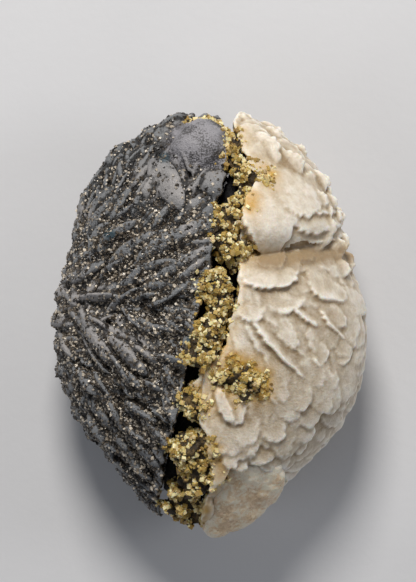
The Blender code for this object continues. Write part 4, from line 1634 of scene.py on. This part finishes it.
@dataclass
class SideriteCrusts:
    """The six crusts of honey-coloured rhombs along the groove, each on a dark body of the solid's form."""

    shop: Workshop
    body_material: Material
    rhomb_material: Material
    kit: RhombKit = RhombKit("rhomb", 0.2, 0.12, 61)

    def body(self, node: str) -> tuple[Object, np.ndarray]:
        """The lumpy body that carries a crust's rhombs, and how thickly they lie on it."""
        rough = self.shop.fuse([merged_copy(node)], node + "_body", 0.3)
        body = self.shop.roughen(rough, self.body_material, 2.6, 0.8, 0.8, 0.15, 2.0, 1.5, 0.35)
        mesh = body.data
        points = points_of(mesh)
        hollow = 1.0 - standing(mesh, 30, 0.25 * MM)
        x, y, z = (points / MM).T
        patchy = np.sin(1.45 * x + 0.6 * y) + np.sin(1.25 * y - 0.7 * x + 1.3) + np.sin(1.9 * z + 0.8 * x)
        bare = self.open_bands(points) if node == "siderite_patch" else np.clip(1.15 + 0.9 * patchy, 0.0, 1.0)
        cover = np.clip(2.2 - 2.6 * hollow, 0.0, 1.0) * bare
        return body, cover

    @staticmethod
    def open_bands(points: np.ndarray) -> np.ndarray:
        """0 along the black bands of the patch and 1 elsewhere."""
        x, y = points[:, 0] / MM, points[:, 1] / MM
        lower = np.abs(y + 14.6 - 0.12 * (x - 6) ** 2) < 0.8
        across = (np.abs(y + 12.2 - 0.62 * (x - 2)) < 0.6) & (x > 1.0) & (x < 7.6)
        return np.where(lower | across, 0.05, 1.0)

    def build(self, halves: Iterable[Object]) -> None:
        """Makes the six crusts in place of their solids, with stray rhombs on the calcite beside them."""
        kit = self.kit.build()
        for number, node in enumerate(CRUST_NODES):
            body, cover = self.body(node)
            grains = self.shop.strew(
                body, node + "_rhombs", kit, self.rhomb_material, cover, Density=9.0, Apart=0.27,
                Smallest=0.3, Largest=0.85, Sunk=0.05, Seed=30 + number,
            )
            place_piece(body, "siderite", node)
            place_piece(grains, "siderite", node)
        targets = node_points(*CRUST_NODES)
        for number, half in enumerate(halves):
            near = nearness(points_of(half.data), targets, 1.5)
            strays = self.shop.strew(
                half, half.name + "_strays", kit, self.rhomb_material, near**2, Density=5.0, Apart=0.3,
                Smallest=0.3, Largest=0.8, Sunk=0.05, Seed=50 + number,
            )
            place_piece(strays, "siderite", *CRUST_NODES)
        discard_kit(kit)


@dataclass
class Seam:
    """The black felted floor of the groove."""

    shop: Workshop
    felt_material: Material
    fibre_material: Material
    kit: FibreKit = FibreKit()

    def build(self) -> list[Object]:
        """Makes the felt in place of the solid, and the fibres on it."""
        rough = self.shop.fuse([merged_copy(SEAM_NODE)], "felt", 0.5)
        felt = self.shop.roughen(rough, self.felt_material, 2.0, 0.7, 0.8, 0.25)
        kit = self.kit.build()
        cover = np.clip(normals_of(felt.data)[:, 2] * 0.7 + 0.4, 0.1, 1.0)
        fibres = self.shop.strew(
            felt, "fibres", kit, self.fibre_material, cover, Density=1.6, Apart=0.3, Smallest=1.4,
            Largest=3.0, Sunk=0.2, Tilt=1.25, Seed=70,
        )
        discard_kit(kit)
        return [place_piece(felt, "boulangerite", SEAM_NODE), place_piece(fibres, "boulangerite", SEAM_NODE)]


def mottle_group() -> NodeTree:
    """A shared effect: two sizes of cloudy variation and a fine speckle over a surface."""
    tree = Tree(bpy.data.node_groups.new("mottle", "ShaderNodeTree"))
    tree.socket("Position", "NodeSocketVector")
    for name, value in (("Broad Size", 5.0), ("Fine Size", 0.5)):
        tree.socket(name, "NodeSocketFloat", value=value)
    for name in ("Broad", "Fine", "Speckle"):
        tree.socket(name, "NodeSocketFloat", "OUTPUT")
    start = tree.add("NodeGroupInput").outputs
    results = []
    for size, detail in (("Broad Size", 3.0), ("Fine Size", 4.0)):
        scale = tree.math("DIVIDE", 1.0 / MM, start[size])
        noise = tree.add("ShaderNodeTexNoise", Vector=start["Position"], Scale=scale, Detail=detail)
        results.append(tree.ranged(noise.outputs["Fac"], 0.3, 0.7))
    cells = tree.add("ShaderNodeTexVoronoi", Vector=start["Position"])
    tree.join(tree.math("DIVIDE", 1.0 / MM, start["Fine Size"]), cells.inputs["Scale"])
    parts = tree.add("ShaderNodeSeparateColor", Color=cells.outputs["Color"])
    finish = tree.add("NodeGroupOutput")
    for source, target in zip((*results, parts.outputs[0]), finish.inputs):
        tree.join(source, target)
    return tree.tree


def shades_group() -> NodeTree:
    """A shared effect: three colours blended by one value, from dark through middle to light."""
    tree = Tree(bpy.data.node_groups.new("three_shades", "ShaderNodeTree"))
    tree.socket("Value", "NodeSocketFloat", value=0.5)
    for name in ("Dark", "Middle", "Light"):
        tree.socket(name, "NodeSocketColor")
    tree.socket("Color", "NodeSocketColor", "OUTPUT")
    start = tree.add("NodeGroupInput").outputs
    lower = tree.blend(tree.ranged(start["Value"], 0.0, 0.5), start["Dark"], start["Middle"])
    upper = tree.blend(tree.ranged(start["Value"], 0.5, 1.0), lower, start["Light"])
    tree.add("NodeGroupOutput", i0=upper)
    return tree.tree


@dataclass
class Effects:
    """The shader node groups that the materials share."""

    mottle: NodeTree = field(default_factory=mottle_group)
    shades: NodeTree = field(default_factory=shades_group)


class Surface(Tree):
    """A material under construction."""

    def __init__(self, name: str, effects: Effects, **values: object) -> None:
        """Starts a material.

        Args:
            name: the material's name.
            effects: the shared node groups.
            values: uniform values for the shader's sockets, with _ for a space.
        """
        self.material = bpy.data.materials.new(name)
        self.material.use_nodes = True
        super().__init__(self.material.node_tree)
        self.tree.nodes.clear()
        self.effects = effects
        self.shader = self.add("ShaderNodeBsdfPrincipled", **values)
        self.add("ShaderNodeOutputMaterial", Surface=self.shader.outputs[0])
        self.position = self.add("ShaderNodeTexCoord").outputs["Object"]

    def mottle(self, broad: float, fine: float) -> tuple:
        """Adds the cloudy variation, with its two sizes in mm, and gives its three values."""
        group = self.add("ShaderNodeGroup", {"node_tree": self.effects.mottle}, Position=self.position)
        group.inputs["Broad Size"].default_value = broad
        group.inputs["Fine Size"].default_value = fine
        return tuple(group.outputs)

    def shades(self, value: NodeSocket, dark: tuple, middle: tuple, light: tuple) -> object:
        """Adds the three-colour blend.

        Args:
            value: what picks the colour, from 0 to 1.
            dark: the colour at 0.
            middle: the colour at a half.
            light: the colour at 1.

        Returns:
            The colour.
        """
        group = self.add("ShaderNodeGroup", {"node_tree": self.effects.shades}, Value=value)
        for name, colour in (("Dark", dark), ("Middle", middle), ("Light", light)):
            group.inputs[name].default_value = (*colour, 1.0)
        return group.outputs[0]

    def stored(self, name: str) -> NodeSocket:
        """The value of an attribute that a mesh stores."""
        return self.add("ShaderNodeAttribute", {"attribute_name": name}).outputs["Fac"]

    def tinted(self, colour: NodeSocket, mask: NodeSocket, tint: tuple) -> NodeSocket:
        """Lays a tint over a colour where a mask is high."""
        return self.blend(mask, colour, (*tint, 1.0))

    def bump(self, height: NodeSocket, depth_mm: float) -> None:
        """Feeds a height to the shader's normal."""
        bump = self.add("ShaderNodeBump", Height=height, Distance=depth_mm * MM)
        self.join(bump.outputs[0], self.shader.inputs["Normal"])

    def feed(self, **sources: NodeSocket) -> Material:
        """Links results to the shader's sockets and gives the finished material."""
        for name, source in sources.items():
            self.join(source, self.shader.inputs[name.replace("_", " ")])
        return self.material


@dataclass(frozen=True)
class PaleFinish:
    """Cream calcite that light soaks into and that siderite stains; painted shade darkens its hollows and
    painted highlight lightens its rims.
    """

    # The darkest colour is that of painted shade, the lightest that of painted highlight
    tan: tuple = (0.34, 0.245, 0.14)
    cream: tuple = (0.59, 0.505, 0.385)
    highlight_white: tuple = (0.86, 0.81, 0.72)
    stain: tuple = (0.60, 0.34, 0.05)
    soot: tuple = (0.035, 0.028, 0.022)
    roughness: tuple[float, float] = (0.34, 0.56)

    def build(self, effects: Effects) -> Material:
        """Makes the material."""
        made = Surface(
            "pale_calcite_finish", effects, IOR=1.55, Subsurface_Weight=0.6, Subsurface_Scale=1.8 * MM,
            Subsurface_Radius=(1.0, 0.72, 0.45), Specular_IOR_Level=0.42,
        )
        broad, fine, speckle = made.mottle(7.0, 0.45)
        # Painted shade darkens hollows and the fold; painted highlight lightens rims
        shaded = made.ranged(made.stored("hollow"), 0.35, 0.85, 0.12, -0.34)
        value = made.plus(made.plus(made.times(made.stored("rim"), 0.85), 0.04), shaded)
        value = made.plus(made.plus(value, made.swing(broad, 0.22)), made.swing(fine, 0.16), clamp=True)
        colour = made.shades(value, self.tan, self.cream, self.highlight_white)
        stained = made.times(made.stored("stain"), made.ranged(broad, 0.2, 0.8, 0.35, 1.3), clamp=True)
        black = made.times(made.stored("soot"), made.ranged(fine, 0.1, 0.7, 0.7, 1.5), clamp=True)
        colour = made.tinted(made.tinted(colour, stained, self.stain), black, self.soot)
        made.bump(made.plus(fine, made.times(speckle, 0.5)), 0.06)
        return made.feed(Base_Color=colour, Roughness=made.ranged(fine, 0.0, 1.0, *self.roughness))


@dataclass(frozen=True)
class ClearFinish:
    """Cloudy see-through calcite with paler veils, and painted highlight on its rims."""

    veil: tuple = (0.98, 0.86, 0.68)
    glass: tuple = (0.86, 0.65, 0.42)
    shade: tuple = (0.64, 0.455, 0.275)
    roughness: tuple[float, float] = (0.26, 0.50)

    def build(self, effects: Effects) -> Material:
        """Makes the material."""
        made = Surface(
            "clear_calcite_finish", effects, IOR=1.6, Transmission_Weight=0.2, Subsurface_Weight=0.5,
            Subsurface_Scale=3.0 * MM, Subsurface_Radius=(1.0, 0.85, 0.7),
        )
        broad, fine, speckle = made.mottle(4.6, 0.42)
        # Painted highlight: rims are lightened
        value = made.plus(made.ranged(broad, 0.2, 0.8, 0.05, 0.75), made.times(made.stored("rim"), 0.5))
        value = made.plus(value, made.swing(speckle, 0.7, 0.4), clamp=True)
        made.bump(made.plus(fine, made.times(speckle, 0.4)), 0.07)
        return made.feed(
            Base_Color=made.shades(value, self.shade, self.glass, self.veil),
            Roughness=made.ranged(fine, 0.0, 1.0, *self.roughness),
        )


@dataclass(frozen=True)
class GreyFinish:
    """Calcite darkened by boulangerite, with teal spots and a frosted round crystal; painted shade darkens
    its hollows and painted bluish highlight lightens its crests.
    """

    # black is the colour of painted shade; crest and the tint under it are painted highlight colours
    black: tuple = (0.006, 0.006, 0.006)
    grey: tuple = (0.028, 0.029, 0.030)
    crest: tuple = (0.19, 0.196, 0.202)
    lilac_highlight: tuple = (0.35, 0.332, 0.322)
    teal: tuple = (0.008, 0.055, 0.080)
    frosted: tuple = (0.30, 0.29, 0.312)
    cloudy: tuple = (0.035, 0.032, 0.034)
    roughness: tuple[float, float] = (0.32, 0.62)

    def build(self, effects: Effects) -> Material:
        """Makes the material."""
        made = Surface("grey_calcite_finish", effects, IOR=1.55, Specular_IOR_Level=0.45)
        broad, fine, speckle = made.mottle(4.0, 0.32)
        rim = made.stored("rim")
        # Painted shade darkens the hollows; painted highlight lightens the crests
        shaded = made.ranged(made.stored("hollow"), 0.30, 0.72, 0.34, -0.40)
        value = made.plus(made.times(made.ranged(rim, 0.35, 1.0), 0.72), shaded)
        value = made.plus(made.plus(value, made.swing(broad, 0.22)), made.swing(fine, 0.55), clamp=True)
        colour = made.shades(value, self.black, self.grey, self.crest)
        # Painted highlight: crests at the listed spots and glints along the left edge get a pale tint
        light = made.times(made.stored("light"), made.ranged(rim, 0.3, 0.8, 0.1, 0.9), clamp=True)
        colour = made.tinted(colour, light, self.lilac_highlight)
        mixed = made.plus(made.times(broad, 0.5), made.times(fine, 0.5))
        veils = made.blend(made.ranged(mixed, 0.34, 0.58), (*self.cloudy, 1.0), (*self.frosted, 1.0))
        colour = made.blend(made.times(made.stored("knob"), 1.0, clamp=True), colour, veils)
        teal = made.times(made.stored("teal"), made.ranged(fine, 0.1, 0.6, 0.5, 0.95), clamp=True)
        made.bump(made.plus(fine, made.times(speckle, 0.7)), 0.11)
        return made.feed(
            Base_Color=made.tinted(colour, teal, self.teal),
            Roughness=made.ranged(fine, 0.0, 1.0, *self.roughness),
        )


@dataclass(frozen=True)
class GrainFinish:
    """Small crystals, each with a tone of its own."""

    name: str
    dark: tuple
    middle: tuple
    light: tuple
    roughness: tuple[float, float]
    soak: float = 0.0
    bias: tuple[float, float] = (0.0, 1.0)
    rarity: float = 1.0

    def build(self, effects: Effects) -> Material:
        """Makes the material."""
        made = Surface(
            self.name, effects, IOR=1.65, Subsurface_Weight=self.soak, Subsurface_Scale=0.5 * MM,
            Subsurface_Radius=(1.0, 0.6, 0.2),
        )
        broad, fine, speckle = made.mottle(3.0, 0.22)
        tone = made.ranged(made.math("POWER", made.stored("tone"), self.rarity), 0.0, 1.0, *self.bias)
        value = made.plus(made.plus(tone, made.swing(broad, 0.35)), made.swing(speckle, 0.1), clamp=True)
        made.bump(fine, 0.03)
        return made.feed(
            Base_Color=made.shades(value, self.dark, self.middle, self.light),
            Roughness=made.ranged(fine, 0.0, 1.0, *self.roughness),
        )


@dataclass(frozen=True)
class DarkFinish:
    """The black and brown ground under rhombs and fibres."""

    name: str
    black: tuple
    brown: tuple
    light: tuple
    roughness: tuple[float, float]
    metallic: float = 0.0

    def build(self, effects: Effects) -> Material:
        """Makes the material."""
        made = Surface(self.name, effects, Metallic=self.metallic)
        broad, fine, speckle = made.mottle(1.6, 0.25)
        value = made.plus(made.times(broad, 0.55), made.times(speckle, 0.35))
        made.bump(made.plus(fine, speckle), 0.12)
        return made.feed(
            Base_Color=made.shades(value, self.black, self.brown, self.light),
            Roughness=made.ranged(fine, 0.0, 1.0, *self.roughness),
        )


@dataclass(frozen=True)
class FloorFinish:
    """The pale, slightly uneven tone of the studio's floor."""

    low: tuple = (0.60, 0.60, 0.61)
    high: tuple = (0.64, 0.64, 0.65)

    def build(self, effects: Effects) -> Material:
        """Makes the material."""
        made = Surface("studio_floor_finish", effects)
        broad, fine, _ = made.mottle(60.0, 2.0)
        made.bump(fine, 0.02)
        return made.feed(
            Base_Color=made.blend(broad, (*self.low, 1.0), (*self.high, 1.0)),
            Roughness=made.ranged(fine, 0.0, 1.0, 0.85, 0.95),
        )


DUST_FINISH = GrainFinish(
    "dusting_finish", (0.014, 0.011, 0.009), (0.12, 0.094, 0.066), (0.74, 0.65, 0.52), roughness=(0.2, 0.42),
    bias=(0.03, 1.0), rarity=1.9,
)
RHOMB_FINISH = GrainFinish(
    "siderite_finish", (0.20, 0.11, 0.018), (0.51, 0.352, 0.088), (0.90, 0.79, 0.46), roughness=(0.34, 0.55),
    soak=0.35, bias=(0.1, 1.0), rarity=1.1,
)
CRUST_FINISH = DarkFinish(
    "crust_ground_finish", (0.006, 0.005, 0.004), (0.045, 0.028, 0.010), (0.24, 0.15, 0.04),
    roughness=(0.4, 0.7),
)
FELT_FINISH = DarkFinish(
    "felt_finish", (0.004, 0.004, 0.005), (0.012, 0.012, 0.014), (0.05, 0.05, 0.055), roughness=(0.45, 0.8),
)
FIBRE_FINISH = DarkFinish(
    "fibre_finish", (0.02, 0.02, 0.022), (0.05, 0.052, 0.06), (0.14, 0.15, 0.17), roughness=(0.25, 0.5),
    metallic=0.6,
)


@dataclass
class Studio:
    """The floor, the lights and the camera, which looks straight down on the showing side."""

    effects: Effects
    middle: Vector = Vector((-0.22 * MM, 6.2 * MM, 17 * MM))
    distance: float = 485 * MM
    lens: float = 100.0
    sensor: float = 24.0

    def light(self, name: str, place: tuple, size: float, watts: float, colour: tuple) -> None:
        """Adds a soft light that shines at the specimen.

        Args:
            name: the light's name.
            place: where it hangs.
            size: how wide it is.
            watts: how strong it is.
            colour: its colour.
        """
        data = bpy.data.lights.new(name, "AREA")
        data.shape = "DISK"
        data.size = size
        data.energy = watts
        data.color = colour
        lamp = show(bpy.data.objects.new(name, data))
        lamp.location = place
        lamp.rotation_mode = "QUATERNION"
        lamp.rotation_quaternion = (self.middle - lamp.location).to_track_quat("-Z", "Y")

    def build(self) -> None:
        """Makes the studio."""
        bm = bmesh.new()
        bmesh.ops.create_grid(bm, x_segments=24, y_segments=24, size=1.2)
        floor = show(mesh_object("studio_floor", bm))
        floor.data.materials.append(FloorFinish().build(self.effects))
        self.light("key", (-0.05, 0.40, 0.45), 0.20, 3.4, (1.0, 0.97, 0.93))
        self.light("side", (0.50, 0.06, 0.30), 0.26, 0.7, (0.94, 0.96, 1.0))
        self.light("fill", (-0.42, -0.20, 0.36), 0.40, 0.5, (0.92, 0.95, 1.0))
        world = bpy.data.worlds.new("soft_sky")
        world.use_nodes = True
        sky = world.node_tree.nodes["Background"]
        sky.inputs["Color"].default_value = (0.86, 0.90, 1.0, 1.0)
        sky.inputs["Strength"].default_value = 0.13
        bpy.context.scene.world = world
        bpy.context.scene.view_settings.view_transform = "Standard"
        data = bpy.data.cameras.new("camera")
        data.lens = self.lens
        data.sensor_width = self.sensor
        camera = show(bpy.data.objects.new("camera", data))
        camera.location = self.middle + Vector((0.0, 0.0, self.distance))
        data.clip_start, data.clip_end = 0.01, 10.0
        bpy.context.scene.camera = camera


def main() -> None:
    """Builds the specimen's looks and its studio."""
    logging.basicConfig(level=logging.INFO, format="%(name)s: %(message)s")
    effects = Effects()
    shop = Workshop()
    rosette = Rosette()
    pale = PaleHalf(shop, rosette, PaleFinish().build(effects)).build()
    LowerCrystal(shop, rosette, ClearFinish().build(effects)).build()
    grey = GreyHalf(shop, rosette, GreyFinish().build(effects)).build()
    Dusting(shop, DUST_FINISH.build(effects)).build(grey)
    SideriteCrusts(shop, CRUST_FINISH.build(effects), RHOMB_FINISH.build(effects)).build((pale, grey))
    Seam(shop, FELT_FINISH.build(effects), FIBRE_FINISH.build(effects)).build()
    Studio(effects).build()


if __name__ == "__main__":
    main()
